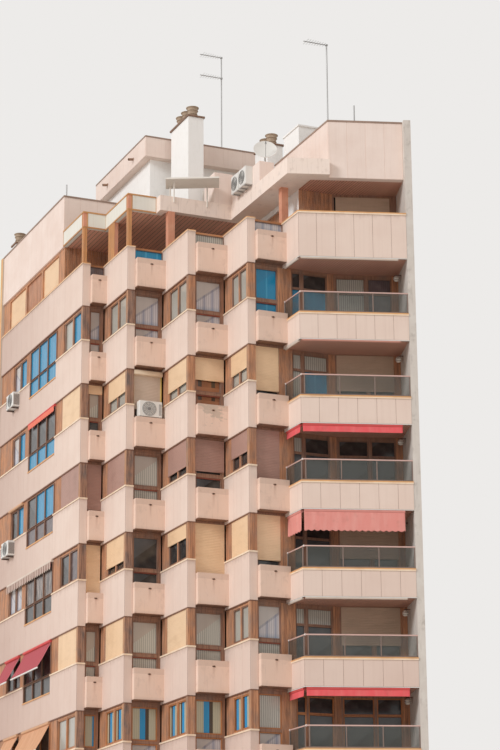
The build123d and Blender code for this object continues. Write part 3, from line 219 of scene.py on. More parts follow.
class Surface:
    """Points and faces of one piece, gathered as whole arrays.

    Every member gets a random tone, which its finish reads, and a mark, the number of its material.
    """

    board: float = 0.09
    board_gap: float = 0.005
    board_proud: float = 0.014

    def __init__(self, seed: int) -> None:
        """Start an empty surface whose tones come from a fixed seed."""
        self.points, self.faces, self.tones, self.marks, self.uvs = ([] for _ in range(5))
        self.count = 0
        self.random = np.random.default_rng(seed)

    def _keep(self, points: Array, faces: list[Array], mark: int | Array) -> None:
        """Store points (members, ..., 3) and groups of faces (members, faces, corners)."""
        members = len(points)
        tone = self.random.random(members)
        marks = np.broadcast_to(mark, (members,))
        self.points.append(points.reshape(-1, 3))
        for group in faces:
            self.faces.append(group.reshape(-1, group.shape[-1]))
            self.tones.append(np.repeat(tone, group.shape[1]))
            self.marks.append(np.repeat(marks, group.shape[1]))
        self.count += len(self.points[-1])

    def tubes(self, rings: Array, mark: int | Array = 0, closed: bool = False) -> None:
        """Add closed members, each a ring of corners carried through its steps.

        A member whose signed volume is negative has its rings reversed, so that it faces outwards.

        Args:
            rings: corners of each ring, (members, steps, corners, 3).
            mark: material number of each member.
            closed: whether the last step joins the first; otherwise both ends are shut.
        """
        rings = rings.reshape(-1, *rings.shape[-3:])
        members, steps, corners, _ = rings.shape
        last = steps if closed else steps - 1
        local = rings - rings.mean(axis=(1, 2), keepdims=True)
        beside, above = np.roll(local, -1, axis=2), np.roll(local, -1, axis=1)
        a, b, c, d = (side[:, :last] for side in (local, beside, np.roll(above, -1, axis=2), above))
        volume = (a * np.cross(b, c) + a * np.cross(c, d)).sum(axis=(1, 2, 3))
        for ring, sign in () if closed else ((local[:, 0], -1.0), (local[:, -1], 1.0)):
            volume += sign * (ring[:, :1] * np.cross(ring, np.roll(ring, -1, axis=1))).sum(axis=(1, 2))
        rings = np.where((volume < 0)[:, None, None, None], rings[:, :, ::-1], rings)
        index = self.count + np.arange(members * steps * corners).reshape(members, steps, corners)
        here, above = index[:, :last], np.roll(index, -1, axis=1)[:, :last]
        around = np.stack([here, np.roll(here, -1, axis=2), np.roll(above, -1, axis=2), above], axis=-1)
        ends = [] if closed else [index[:, :1, ::-1], index[:, -1:, :]]
        self._keep(rings, [around.reshape(members, -1, 4), *ends], mark)

    def sheets(self, points: Array, uv: Array, mark: int | Array = 0) -> None:
        """Add open sheets over grids of points.

        Args:
            points: grid points of each sheet, (members, rows, columns, 3).
            uv: place of each point on its sheet in metres, (members, rows, columns, 2).
            mark: material number of each sheet.
        """
        index = np.arange(points[..., 0].size).reshape(points.shape[:3])
        quads = np.stack([index[:, :-1, :-1], index[:, :-1, 1:], index[:, 1:, 1:], index[:, 1:, :-1]], axis=-1)
        self.uvs.append(np.broadcast_to(uv, (*points.shape[:3], 2)).reshape(-1, 2)[quads.reshape(-1)])
        self._keep(points, [quads.reshape(len(points), -1, 4) + self.count], mark)

    def blocks(self, run: Run, s: tuple, t: tuple, z: tuple, edge: float = 0.0, mark: int | Array = 0) -> None:
        """Add square members: a rectangle in s and z carried from the front t to the back t.

        Args:
            run: stretch of facade that they are set out on.
            s, t, z: start and stop along each way, numbers or arrays that broadcast.
            edge: width of a chamfer round the front.
            mark: material number of each member.
        """
        s0, s1, t0, t1, z0, z1 = (side.ravel() for side in np.broadcast_arrays(*s, *t, *z))
        rings = []
        for depth, inset in ((t0, edge), (t0 + edge, 0.0), (t1, 0.0))[0 if edge else 1:]:
            left, right, low, high = s0 + inset, s1 - inset, z0 + inset, z1 - inset
            around = ((left, depth, low), (right, depth, low), (right, depth, high), (left, depth, high))
            rings.append(np.stack([np.stack(corner, axis=-1) for corner in around], axis=1))
        self.tubes(run.place(np.stack(rings, axis=1)), mark)

    def framed(self, run: Run, s: tuple, t: Pair, z: tuple, bar: Pair, edge: float, mark: int | Array = 0,
               head: int | Array | None = None) -> None:
        """Add the four bars of a frame: both stiles, the foot and the head.

        Args:
            run, s, t, z: as for blocks, the outside of the frame.
            bar: width of the stiles and height of the foot and head.
            edge: width of a chamfer round the front.
            mark: material number of the bars.
            head: material number of the head, if it has its own.
        """
        (left, right), (low, high), (wide, tall) = s, z, bar
        between = (left + wide, right - wide)
        self.blocks(run, (left, left + wide), t, z, edge, mark)
        self.blocks(run, (right - wide, right), t, z, edge, mark)
        self.blocks(run, between, t, (low, low + tall), edge, mark)
        self.blocks(run, between, t, (high - tall, high), edge, mark if head is None else head)

    def boards(self, run: Run, s: Pair, back: float, z: tuple, mark: int = 0) -> None:
        """Add upright boards with chamfered edges over a span of a run, their backs at a depth."""
        count = max(1, round((s[1] - s[0]) / self.board))
        places, half = np.linspace(*s, count + 1)[:, None], self.board_gap / 2
        self.blocks(run, (places[:-1] + half, places[1:] - half), (back - self.board_proud, back), z, 0.005, mark)

    def carried(self, run: Run, corners: Array, first: Array, last: Array, mark: int | Array = 0) -> None:
        """Carry (s, t, z) corners straight from each first point to each last point."""
        ends = [corners + np.asarray(end, float).reshape(-1, 1, 3) for end in (first, last)]
        self.tubes(run.place(np.stack(np.broadcast_arrays(*ends), axis=1)), mark)

    def mitred(self, path: list[Pair], profile: Array, heights: Value, mark: int | Array = 0) -> None:
        """Carry a profile of (t, z) corners round a plan path that has the building on its left.

        At a bend the profile is set out along the sum of both inward ways over one plus their
        product, so that the two stretches meet in a mitre.
        """
        line = np.asarray(path, float)
        way = np.diff(line, axis=0)
        way /= np.linalg.norm(way, axis=1, keepdims=True)
        inward = np.stack([-way[:, 1], way[:, 0]], axis=-1)
        before, after = np.concatenate([inward[:1], inward]), np.concatenate([inward, inward[-1:]])
        mitre = (before + after) / (1 + (before * after).sum(axis=1, keepdims=True))
        plan = line[:, None] + mitre[:, None] * profile[None, :, :1]
        heights = np.atleast_1d(heights)
        rings = np.empty((len(heights), *plan.shape[:2], 3))
        rings[..., :2] = plan
        rings[..., 2] = profile[:, 1] + heights[:, None, None]
        self.tubes(rings, mark)

    def turned(self, origins: Array, axes: Array, profile: Array, sides: int = 12, mark: int | Array = 0,
               closed: bool = False) -> None:
        """Turn profiles round axes: each point is its radius out along the turn and its height up.

        Args:
            origins: foot of each axis, (members, 3).
            axes: way of each axis, (members, 3) or one for all.
            profile: (radius, height) rows, (rows, 2) or (members, rows, 2).
            sides: corners of a ring.
            mark: material number of each member.
            closed: whether the profile is an outline, as of a ring.
        """
        origins = np.atleast_2d(np.asarray(origins, float))
        axes = np.broadcast_to(np.asarray(axes, float), origins.shape)
        axes = axes / np.linalg.norm(axes, axis=1, keepdims=True)
        across = np.cross(axes, np.where(np.abs(axes[:, 2:]) < 0.9, UP, [1.0, 0.0, 0.0]))
        across /= np.linalg.norm(across, axis=1, keepdims=True)
        angle = circle(sides)[:, None]
        ring = np.cos(angle) * across[:, None] + np.sin(angle) * np.cross(axes, across)[:, None]
        rows = np.broadcast_to(np.asarray(profile, float), (len(origins), *np.shape(profile)[-2:]))
        self.tubes(origins[:, None, None] + rows[:, :, 0, None, None] * ring[:, None]
                   + rows[:, :, 1, None, None] * axes[:, None, None], mark, closed)

    def rods(self, starts: Array, ends: Array, radius: float, sides: int = 8, mark: int | Array = 0) -> None:
        """Add round rods: a circle carried from each start to each end."""
        starts, ends = np.broadcast_arrays(*(np.atleast_2d(np.asarray(end, float)) for end in (starts, ends)))
        long = np.linalg.norm(ends - starts, axis=1)
        profile = np.stack([np.full((len(long), 2), radius), np.stack([0 * long, long], axis=1)], axis=-1)
        self.turned(starts, ends - starts, profile, sides, mark)

    def mesh(self, name: str) -> bpy.types.Mesh:
        """Put the gathered points, faces, tones, marks and places on the sheets into a mesh."""
        def fill(store: object, key: str, parts: list[Array], kind: type = np.float32) -> None:
            """Write gathered arrays into a store of the mesh."""
            store.foreach_set(key, np.concatenate(parts).astype(kind).ravel())

        data = bpy.data.meshes.new(name)
        loops = [group.ravel() for group in self.faces]
        sizes = np.concatenate([np.full(len(group), group.shape[1]) for group in self.faces])
        data.vertices.add(self.count)
        data.loops.add(sum(map(len, loops)))
        data.polygons.add(len(sizes))
        fill(data.vertices, "co", self.points)
        fill(data.loops, "vertex_index", loops, np.int32)
        fill(data.polygons, "loop_start", [np.cumsum(sizes) - sizes], np.int32)
        fill(data.polygons, "material_index", self.marks, np.int32)
        data.update(calc_edges=True)
        fill(data.attributes.new("tone", "FLOAT", "FACE").data, "value", self.tones)
        if self.uvs:
            fill(data.uv_layers.new(name="cloth").data, "uv", self.uvs)
        data.validate()
        return data


def put(name: str, data: bpy.types.ID) -> bpy.types.Object:
    """Make an object of a mesh, lamp or camera and put it in the scene."""
    made = bpy.data.objects.new(name, data)
    bpy.context.scene.collection.objects.link(made)
    return made


def show(name: str, surface: Surface, slot: str, *finishes: "Finish", replaces: tuple[str, ...] = (),
         smooth: float = 0.0, bevel: float = 0.0, thick: float = 0.0) -> bpy.types.Object:
    """Make a piece of the block from a surface.

    Args:
        name: the piece's name.
        surface: its gathered mesh.
        slot: name of a material slot, only written to the log.
        finishes: one for each mark of the surface.
        replaces: solids that it stands for.
        smooth: angle in degrees under which faces shade smoothly.
        bevel: width of rounded edges.
        thick: thickness given to a sheet.

    Returns:
        The object, riding on the building.
    """
    data = surface.mesh(name)
    for finish in finishes:
        data.materials.append(finish.material())
    if smooth:
        data.shade_smooth()
        data.set_sharp_from_angle(angle=math.radians(smooth))
    else:
        data.shade_flat()
    piece = put(name, data)
    if thick:
        shell = piece.modifiers.new("thickness", "SOLIDIFY")
        shell.thickness, shell.offset = thick, 0.0
    if bevel:
        rounded = piece.modifiers.new("rounded", "BEVEL")
        rounded.width, rounded.segments, rounded.limit_method = bevel, 2, "ANGLE"
    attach(piece, BODY)
    if replaces:
        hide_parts(*replaces)
    LOG.info("%s: %d faces, %s", name, len(data.polygons), slot)
    return piece


# Finishes


def linear(colour: str) -> tuple[float, float, float, float]:
    """Turn an sRGB hex colour to linear."""
    parts = [int(colour[place:place + 2], 16) / 255 for place in (1, 3, 5)]
    return (*(p / 12.92 if p <= 0.04045 else ((p + 0.055) / 1.055) ** 2.4 for p in parts), 1.0)


def add(tree: bpy.types.NodeTree, kind: str, *inputs: object, out: int | str = 0,
        **settings: object) -> Socket | None:
    """Add a shader node with its settings and links.

    Args:
        tree: tree that gets it.
        kind: its type without the ShaderNode at the front.
        inputs: values or linked sockets of its first inputs in order, and a dict of others by name or number.
        out: output that is wanted.
        settings: the node's own options.

    Returns:
        The wanted output, if the node has any.
    """
    made = tree.nodes.new(f"ShaderNode{kind}")
    for name, value in settings.items():
        setattr(made, name, value)
    for number, value in enumerate(inputs):
        for key, each in (value if isinstance(value, dict) else {number: value}).items():
            if isinstance(each, bpy.types.NodeSocket):
                tree.links.new(each, made.inputs[key])
            else:
                made.inputs[key].default_value = each
    return made.outputs[out] if made.outputs else None


class Coat:
    """Colour and relief of one material, laid on in layers."""

    def __init__(self, tree: bpy.types.NodeTree, colour: str) -> None:
        """Start with one colour all over."""
        self.tree = tree
        self.colour: object = linear(colour)
        self.height: Socket | None = None
        self.place = self.node("TexCoord", out="Object")

    def node(self, kind: str, *inputs: object, **settings: object) -> Socket:
        """Add a node to the coat's own tree."""
        return add(self.tree, kind, *inputs, **settings)

    def sum(self, operation: str, *inputs: object) -> Socket:
        """Work out a sum."""
        return self.node("Math", *inputs, operation=operation)

    def axis(self, number: int, vector: Socket | None = None) -> Socket:
        """One coordinate of a vector, or else of the place."""
        return self.node("SeparateXYZ", self.place if vector is None else vector, out=number)

    def dot(self, first: object, second: object) -> Socket:
        """Product of two vectors."""
        return self.node("VectorMath", first, second, out="Value", operation="DOT_PRODUCT")

    def normal(self) -> Socket:
        """The way that the face looks."""
        return self.node("NewGeometry", out="True Normal")

    def wall(self) -> tuple[Socket, Socket]:
        """Distance along an upright face, its place times the level way along it, and height."""
        level = self.node("VectorMath", UP, self.normal(), operation="CROSS_PRODUCT")
        return self.dot(self.place, level), self.axis(2)

    def noise(self, spot: Socket, scale: tuple, detail: float, rough: float = 0.5, kind: str = "3D") -> Socket:
        """Noise over a place times a scale."""
        drawn = self.node("Mapping", {"Vector": spot, "Scale": scale})
        return self.node("TexNoise", {"Vector": drawn, "Scale": 1.0, "Detail": detail, "Roughness": rough},
                         noise_dimensions=kind)

    def patches(self, *size: float, detail: float = 4.0, rough: float = 0.55) -> Socket:
        """Soft patches of a size in metres, one for all or along x, y and z."""
        return self.noise(self.place, tuple(1 / side for side in size * (3 // len(size))), detail, rough)

    def streaks(self, wide: float, long: float) -> Socket:
        """Upright streaks of a width and length in metres, as rain leaves them."""
        return self.noise(self.node("CombineXYZ", *self.wall()), (1 / wide, 1 / long, 1.0), 5.0, 0.6, "2D")

    def repeat(self, value: Socket, start: float, pitch: float) -> Socket:
        """How far a value is past the last whole pitch from a start."""
        return self.sum("FLOORED_MODULO", self.sum("SUBTRACT", value, start), pitch)

    def lines(self, value: Socket, pitch: float, wide: float, shift: float = 0.0) -> Socket:
        """One on a line of a width at every pitch of a distance past a shift, nothing between."""
        return self.sum("LESS_THAN", self.repeat(value, shift, pitch), wide)

    def tone(self) -> Socket:
        """Random tone of each member of a piece."""
        return self.node("Attribute", out="Fac", attribute_name="tone")

    def span(self, value: Socket, start: float, stop: float, strength: float = 1.0) -> Socket:
        """Grow from nothing to a strength as a value goes from a start to a stop."""
        return self.node("MapRange", {"Value": value, "From Min": start, "From Max": stop, "To Max": strength})

    def over(self, mask: Socket, colour: str, strength: float, start: float = 0.0, stop: float = 1.0) -> None:
        """Lay a colour over the others, from nothing to a strength as the mask goes from start to stop."""
        share = self.span(mask, start, stop, strength)
        self.colour = self.node("Mix", {0: share, 6: self.colour, 7: linear(colour)}, out=2, data_type="RGBA")

    def raise_by(self, mask: Socket, metres: float) -> None:
        """Raise the surface where the mask is one."""
        self.height = self.sum("MULTIPLY_ADD", mask, metres, 0.0 if self.height is None else self.height)


@dataclass(frozen=True)
class Finish:
    """A finish with its name, colour and surface."""

    name: str
    colour: str
    roughness: float = 0.6
    metallic: float = 0.0
    clear: float = 0.0
    solid: float = 1.0

    def paint(self, coat: Coat) -> None:
        """Lay the finish's pattern on the coat."""
        coat.over(coat.patches(0.4), "#8C8378", 0.12, 0.4, 0.7)

    def material(self) -> bpy.types.Material:
        """The finish's material, made once."""
        made = bpy.data.materials.get(self.name)
        if made is not None:
            return made
        made = bpy.data.materials.new(self.name)
        made.use_nodes = True
        tree = made.node_tree
        shader = tree.nodes["Principled BSDF"]
        for name, value in (("Roughness", self.roughness), ("Metallic", self.metallic), ("Coat Weight", self.clear),
                            ("Coat Roughness", 0.03), ("Alpha", self.solid)):
            shader.inputs[name].default_value = value
        coat = Coat(tree, self.colour)
        self.paint(coat)
        tree.links.new(coat.colour, shader.inputs["Base Color"])
        if coat.height is not None:
            bump = add(tree, "Bump", {"Height": coat.height, "Distance": 1.0, "Strength": 1.0})
            tree.links.new(bump, shader.inputs["Normal"])
        return made


@dataclass(frozen=True)
class Cladding(Finish):
    """Coated cement panels, cast smooth and rolled with matt paint: nearly even, with faint rain streaks."""

    streak: str = "#B08C7C"
    second: str = "#E2C7B8"
    amount: float = 0.09
    grime_and_shade: float = 0.28

    def paint(self, coat: Coat) -> None:
        """Tone of each panel, soft patches, rain streaks, painted shade towards the street and towards the party wall,
        and dirty streaks below each cap.
        """
        coat.over(coat.tone(), self.second, 0.16)
        coat.over(coat.patches(1.6, 1.6, 1.1), self.second, 0.35, 0.42, 0.68)
        coat.over(coat.streaks(0.11, 2.6), self.streak, self.amount, 0.5, 0.78)
        if self.grime_and_shade:
            up, storey = coat.axis(2), BLOCK.storey
            # Painted shade: darker below 18 m towards the street, and darker as y grows towards the party wall;
            # switched off together with the dirt below the caps.
            coat.over(up, "#B89488", 0.4, 18.0, 8.0)
            coat.over(coat.axis(1), "#A07C70", 0.42, 1.0, 9.0)
            below = coat.repeat(up, BLOCK.first_sill, storey)
            soiled = coat.sum("MULTIPLY_ADD", coat.streaks(0.16, 0.5), 0.35, below)
            coat.over(soiled, "#9C7B6B", self.grime_and_shade, storey - 0.06, storey + 0.12)
        coat.raise_by(coat.patches(0.008, detail=2.0), 0.0004)


@dataclass(frozen=True)
class Backing(Cladding):
    """The wall behind the panels: as they are where it is seen, painted dark on the faces that they cover, as painted
    shade in the joints between them.
    """

    joint_shade: str = "#8E7267"

    def paint(self, coat: Coat) -> None:
        """The panels' coat, then the painted joint shade where the face looks to the street, whose two sides are -x and
        -y.
        """
        super().paint(coat)
        # Painted shade: dark on the street faces, which show only in the gaps between panels.
        coat.over(coat.dot(coat.normal(), (-1.0, -1.0, 0.0)), self.joint_shade, 0.85, 0.3, 0.5)


@dataclass(frozen=True)
class Concrete(Finish):
    """Cement render or cast concrete, floated by hand: blotches, pits and runs of rain."""

    stain: str = "#8D776A"
    bleach: str = "#F0DED2"
    amount: float = 0.4

    def paint(self, coat: Coat) -> None:
        """Large pale and dark blotches, narrow runs, and pits of about 6 mm."""
        coat.over(coat.patches(0.7, 0.7, 0.5), self.bleach, 0.55, 0.45, 0.75)
        coat.over(coat.patches(0.25, 0.25, 0.35, detail=6.0, rough=0.65), self.stain, self.amount, 0.55, 0.72)
        coat.over(coat.streaks(0.07, 1.2), self.stain, self.amount, 0.58, 0.8)
        coat.raise_by(coat.patches(0.03, detail=5.0), 0.003)
        coat.raise_by(coat.patches(0.006, detail=2.0), 0.0008)


@dataclass(frozen=True)
class Timber(Finish):
    """Pine, sawn and oiled: grain along the board, boards of different tones, weathered grey in patches.

    The grain is drawn 8 mm wide, coarser than real, so that it shows.
    """

    dark: str = "#7A4A30"
    weathered: str = "#8C7A70"
    grey: float = 0.35
    stained: float = 0.45
    upright: bool = True

    def paint(self, coat: Coat) -> None:
        """Grain stretched along the boards, tone by board, grey weathering and dark streaks."""
        grain = coat.patches(*((0.008, 0.008, 0.5) if self.upright else (0.25, 0.25, 0.008)), detail=3.0)
        coat.over(coat.tone(), self.dark, 0.4)
        coat.over(grain, self.dark, 0.5, 0.42, 0.8)
        coat.over(coat.patches(0.35, 0.35, 0.6, detail=5.0), self.weathered, self.grey, 0.45, 0.68)
        if self.upright:
            coat.over(coat.streaks(0.05, 0.8), "#54382A", self.stained, 0.48, 0.64)
        coat.raise_by(grain, 0.0015)


@dataclass(frozen=True)
class Ceiling(Finish):
    """Varnished boards on an underside, laid square to the front: grooves every 100 mm and blotches."""

    board: float = 0.1
    dark: str = "#3C2722"

    def paint(self, coat: Coat) -> None:
        """Boards along y with their own tones, long grain and dark grooves."""
        x = coat.axis(0)
        tone = coat.node("TexWhiteNoise", {"W": coat.sum("SNAP", x, self.board)}, noise_dimensions="1D")
        coat.over(tone, self.dark, 0.25)
        coat.over(coat.patches(0.012, 0.4, 0.3), self.dark, 0.25, 0.4, 0.75)
        coat.over(coat.patches(0.9), "#D8B498", 0.3, 0.5, 0.7)
        groove = coat.lines(x, self.board, 0.018)
        coat.over(groove, "#1E1412", 0.75)
        coat.raise_by(groove, -0.005)


@dataclass(frozen=True)
class Metal(Finish):
    """Painted, anodised or galvanised metal, drawn or folded: even colour with dust and worn spots."""

    worn: str = "#6E6660"
    amount: float = 0.25

    def paint(self, coat: Coat) -> None:
        """Dust in soft patches and small worn spots."""
        coat.over(coat.tone(), self.worn, 0.12)
        coat.over(coat.patches(0.5, detail=5.0), self.worn, self.amount, 0.45, 0.75)
        coat.over(coat.patches(0.03, 0.03, 0.05), self.worn, self.amount, 0.62, 0.72)
        coat.raise_by(coat.patches(0.02), 0.0003)


@dataclass(frozen=True)
class Slats(Finish):
    """Roller shutter of PVC, extruded in bowed slats of 55 mm: bleached by the sun, dusty in clouds."""

    dust: str = "#A98A68"
    bleached: str = "#F2DFC4"

    def paint(self, coat: Coat) -> None:
        """Tone of each shutter, level clouds of dust and long stains."""
        coat.over(coat.tone(), self.bleached, 0.25)
        coat.over(coat.streaks(0.3, 2.0), self.dust, 0.25, 0.45, 0.8)
        coat.over(coat.patches(0.7, 0.7, 0.25), self.dust, 0.35, 0.5, 0.8)


@dataclass(frozen=True)
class Canvas(Finish):
    """Acrylic canvas, woven and dyed in the thread: faded folds, dust, and stripes where it has them.

    The weave is drawn at 6 mm, about ten threads, so that it shows.
    """

    faded: str = "#F2B0A4"
    stripe: str = ""
    pitch: float = 0.24
    weave: float = 0.006

    def paint(self, coat: Coat) -> None:
        """Stripes across the width, fading in long patches down the cloth, dust and weave."""
        spot = coat.node("UVMap", uv_map="cloth")
        if self.stripe:
            coat.over(coat.lines(coat.axis(0, spot), self.pitch, self.pitch / 2), self.stripe, 0.95)
        coat.over(coat.noise(spot, (5.0, 0.8, 1.0), 4.0), self.faded, 0.45, 0.42, 0.72)
        coat.over(coat.patches(0.3, detail=5.0), "#8A5F55", 0.2, 0.55, 0.75)
        fine = coat.node("Mapping", {"Vector": spot, "Scale": (1 / self.weave, 1 / self.weave, 1.0)})
        coat.raise_by(coat.node("TexChecker", {"Vector": fine, "Scale": 1.0}, out=1), 0.0003)


@dataclass(frozen=True)
class Clay(Finish):
    """Terracotta, thrown or extruded and fired: sandy, sooted towards the rim."""

    def paint(self, coat: Coat) -> None:
        """Warm and sooty patches with a sandy relief."""
        coat.over(coat.tone(), "#9F8870", 0.4)
        coat.over(coat.patches(0.12, 0.12, 0.2, detail=5.0), "#7C6450", 0.4, 0.45, 0.7)
        coat.over(coat.patches(0.05), "#E2C6A6", 0.4, 0.6, 0.75)
        coat.raise_by(coat.patches(0.01), 0.0015)


@dataclass(frozen=True)
class Gravel(Finish):
    """Loose roof gravel or potting soil: stones or crumbs of a size, in mixed tones."""

    dark: str = "#6E665C"
    grit: float = 0.03

    def paint(self, coat: Coat) -> None:
        """Cells as large as a stone, each with its own tone and a raised middle."""
        spot = coat.node("Mapping", {"Vector": coat.place, "Scale": (1 / self.grit,) * 3})
        away = coat.node("TexVoronoi", {"Vector": spot, "Scale": 1.0})
        coat.over(coat.node("SeparateColor", away.node.outputs["Color"]), self.dark, 0.75)
        coat.over(coat.patches(1.3), self.dark, 0.4, 0.45, 0.7)
        coat.raise_by(away, -self.grit / 3)


@dataclass(frozen=True)
class Stone(Finish):
    """Honed stone slabs, sawn and set in courses: clouded, with tight joints."""

    course: float = 0.6
    slab: float = 0.9

    def paint(self, coat: Coat) -> None:
        """Tone of each slab, clouds, and joints 6 mm wide."""
        slabs = coat.node("TexBrick", {
            "Vector": coat.node("CombineXYZ", *coat.wall()), "Color1": (1, 1, 1, 1), "Color2": (0.3, 0.3, 0.3, 1),
            "Mortar": (0, 0, 0, 1), "Scale": 1.0, "Mortar Size": 0.006, "Brick Width": self.slab,
            "Row Height": self.course})
        joints = slabs.node.outputs[1]
        coat.over(slabs, "#A9998A", 0.35, 0.3, 1.0)
        coat.over(coat.patches(0.3, 0.3, 0.2, detail=6.0, rough=0.6), "#8E8175", 0.4, 0.45, 0.7)
        coat.over(joints, "#5A5048", 0.8)
        coat.raise_by(joints, -0.004)


@dataclass(frozen=True)
class PartyWall(Concrete):
    """Lime render on a blank wall: colour-washed on the narrow end that shows, plain grey on the wide face."""

    plain: str = "#CFC3B6"

    def paint(self, coat: Coat) -> None:
        """The render's blotches, then plain grey where the face looks along y."""
        super().paint(coat)
        coat.over(coat.sum("ABSOLUTE", coat.axis(1, coat.normal())), self.plain, 0.9, 0.4, 0.6)


@dataclass(frozen=True)
class Cast(Concrete):
    """Planter concrete, cast in smooth forms and painted: rust runs below each drain, chalky peeled paint."""

    middles: tuple[float, ...] = ()
    drain: float = 0.7
    reach: float = 0.12
    peeled: tuple[Pair, ...] = ()

    def paint(self, coat: Coat) -> None:
        """Clouds, a run below each drain, darker foot and peeled patches.

        A run's strength is how near the face lies to a drain's x, times how far below it.
        """
        super().paint(coat)
        x, up, storey = coat.axis(0), coat.axis(2), BLOCK.storey
        near = None
        for middle in self.middles:
            away = coat.sum("ABSOLUTE", coat.sum("SUBTRACT", x, middle))
            near = away if near is None else coat.sum("MINIMUM", near, away)
        left = coat.repeat(up, BLOCK.first_sill - self.drain, storey)
        ragged = coat.sum("MULTIPLY_ADD", coat.streaks(0.03, 0.6), self.reach, near)
        run = coat.sum("MULTIPLY", coat.span(ragged, self.reach, 0.05), coat.span(left, storey - 0.5, storey))
        coat.over(run, "#A0694F", 0.45)
        coat.over(coat.span(left, storey - 0.74, storey - 0.9), self.stain, 0.22)
        for place_x, place_z in self.peeled:
            gap = coat.node("VectorMath", coat.node("CombineXYZ", x, 0.0, up), (place_x, 0.0, place_z),
                            out="Value", operation="DISTANCE")
            flaking = coat.sum("MULTIPLY_ADD", gap, -0.55, coat.patches(0.28, 0.28, 0.09, detail=5.0))
            coat.over(flaking, "#BFAF9F", 0.65, 0.3, 0.33)


class Light(Enum):
    """What a pane shows behind it, such as curtains and the painted shade of a dark room, or in the glass as painted
    reflections: its number among the panes, its colour and its layers.

    A layer is a mask with the line's pitch, width and shift if it is drawn as lines, then the colour, the
    strength, and the mask's start and stop.
    """

    # Painted light in the panes: the dark look's base is the painted shade of an unlit room; the blue of the sky look
    # and the blue stripes of the half look are a painted reflection of the sky; every slanting layer is a painted
    # reflection of a roof line.
    DARK = (0, "#2E2B2A", ("wander", (), "#5B5652", 0.6, 0.4, 0.75), ("slant", (), "#6F7377", 0.35, 0.3, 0.34))
    SKY = (1, "#0487B6", ("fold", (), "#1D9FC8", 0.35), ("across", (0.43, 0.05), "#4FB6DA", 0.6),
           ("slant", (), "#0B74A0", 0.35, 0.46, 0.5))
    VEIL = (2, "#B9B3B8", ("fold", (), "#F1EEEC", 0.6), ("across", (0.31, 0.09), "#8D93AB", 0.55),
            ("slant", (), "#7E7B84", 0.45, 0.24, 0.27), ("slant", (), "#C9C0B9", 0.9, 0.33, 0.36),
            ("up", (), "#5F87A6", 0.5, 0.22, 0.0))
    PLEATS = (3, "#969088", ("fold", (), "#DAD8CC", 0.8), ("wander", (), "#6F7468", 0.3, 0.55, 0.75))
    HALF = (4, "#B9B49C", ("fold", (), "#D8D2B4", 0.5), ("across", (0.7, 0.2, 0.32), "#1F98D2", 0.95),
            ("across", (0.7, 0.13, 0.52), "#3A2A24", 0.9))
    WEDGE = (5, "#AAA9A0", ("fold", (), "#E0DFD4", 0.7), ("slant", (), "#BCB2A8", 0.95, 0.3, 0.32))
    SLATE = (6, "#5C4E50", ("fold", (), "#70666A", 0.5), ("wander", (), "#9A8C8A", 0.4, 0.45, 0.75))
    TIMBER = (7, "#97603F", ("wander", (), "#7A4A32", 0.4, 0.4, 0.7), ("across", (0.5, 0.14, 0.12), "#3B3226", 0.9),
              ("up", (0.5, 0.24, 0.2), "#A8704E", 0.95, 1.0, 0.0))
    STREAKED = (8, "#3E3432", ("streaks", (), "#C9B7AC", 0.75, 0.5, 0.6), ("fold", (), "#70625E", 0.3))


@dataclass(frozen=True)
class Pane(Finish):
    """Float glass before a room, drawn flat and clear: what is behind it and a sharp gloss over it.

    The curtain, the painted shade of the room behind, and the painted reflections of the sky and of roof lines in the
    glass are the pane's own pattern, set out in metres from the pane's lower left corner.
    """

    look: Light = Light.DARK
    pleat: float = 0.0375

    def paint(self, coat: Coat) -> None:
        """Pleats every 75 mm with a little wander, and a mirrored roof line that slants across the pane."""
        spot = coat.node("UVMap", uv_map="cloth")
        across, up = coat.axis(0, spot), coat.axis(1, spot)
        wander = coat.node("TexNoise", {"Vector": spot, "Scale": 2.5, "Detail": 3.0})
        fold = coat.sum("PINGPONG", coat.sum("MULTIPLY_ADD", wander, 0.03, across), self.pleat)
        masks = {"across": across, "up": up, "wander": wander, "fold": fold,
                 "slant": coat.sum("MULTIPLY_ADD", across, -0.75, up)}
        if self.look is Light.STREAKED:
            masks["streaks"] = coat.streaks(0.08, 0.9)
        for name, line, colour, strength, *ends in self.look.value[2:]:
            mask = coat.lines(masks[name], *line) if line else masks[name]
            coat.over(mask, colour, strength, *((0.0, self.pleat) if name == "fold" else ends))


CLADDING = Cladding("coated_cement_panel", "#EFD9CB", 0.75)
BACKING = Backing("wall_behind_panels_painted_joint_shade", "#EFD9CB", 0.8)
ATTIC = Cladding("coated_cement_panel_attic", "#F7E4D9", 0.75, amount=0.1, grime_and_shade=0.0)
FASCIA = Cladding("coated_cement_panel_cream", "#EEEAE0", 0.75, streak="#C8B89C", second="#E2DECE", amount=0.2,
                  grime_and_shade=0.0)
CAP = Metal("enamelled_steel_coping_cream", "#FDE8CE", 0.5, worn="#D99A60", amount=0.4)
CAP_EDGE = Metal("enamelled_steel_coping_ochre", "#EDB277", 0.5, worn="#9A6A40", amount=0.4)
DARK_CAP = Metal("enamelled_steel_coping_grey", "#A58A7A", 0.5, worn="#6B5A50", amount=0.4)
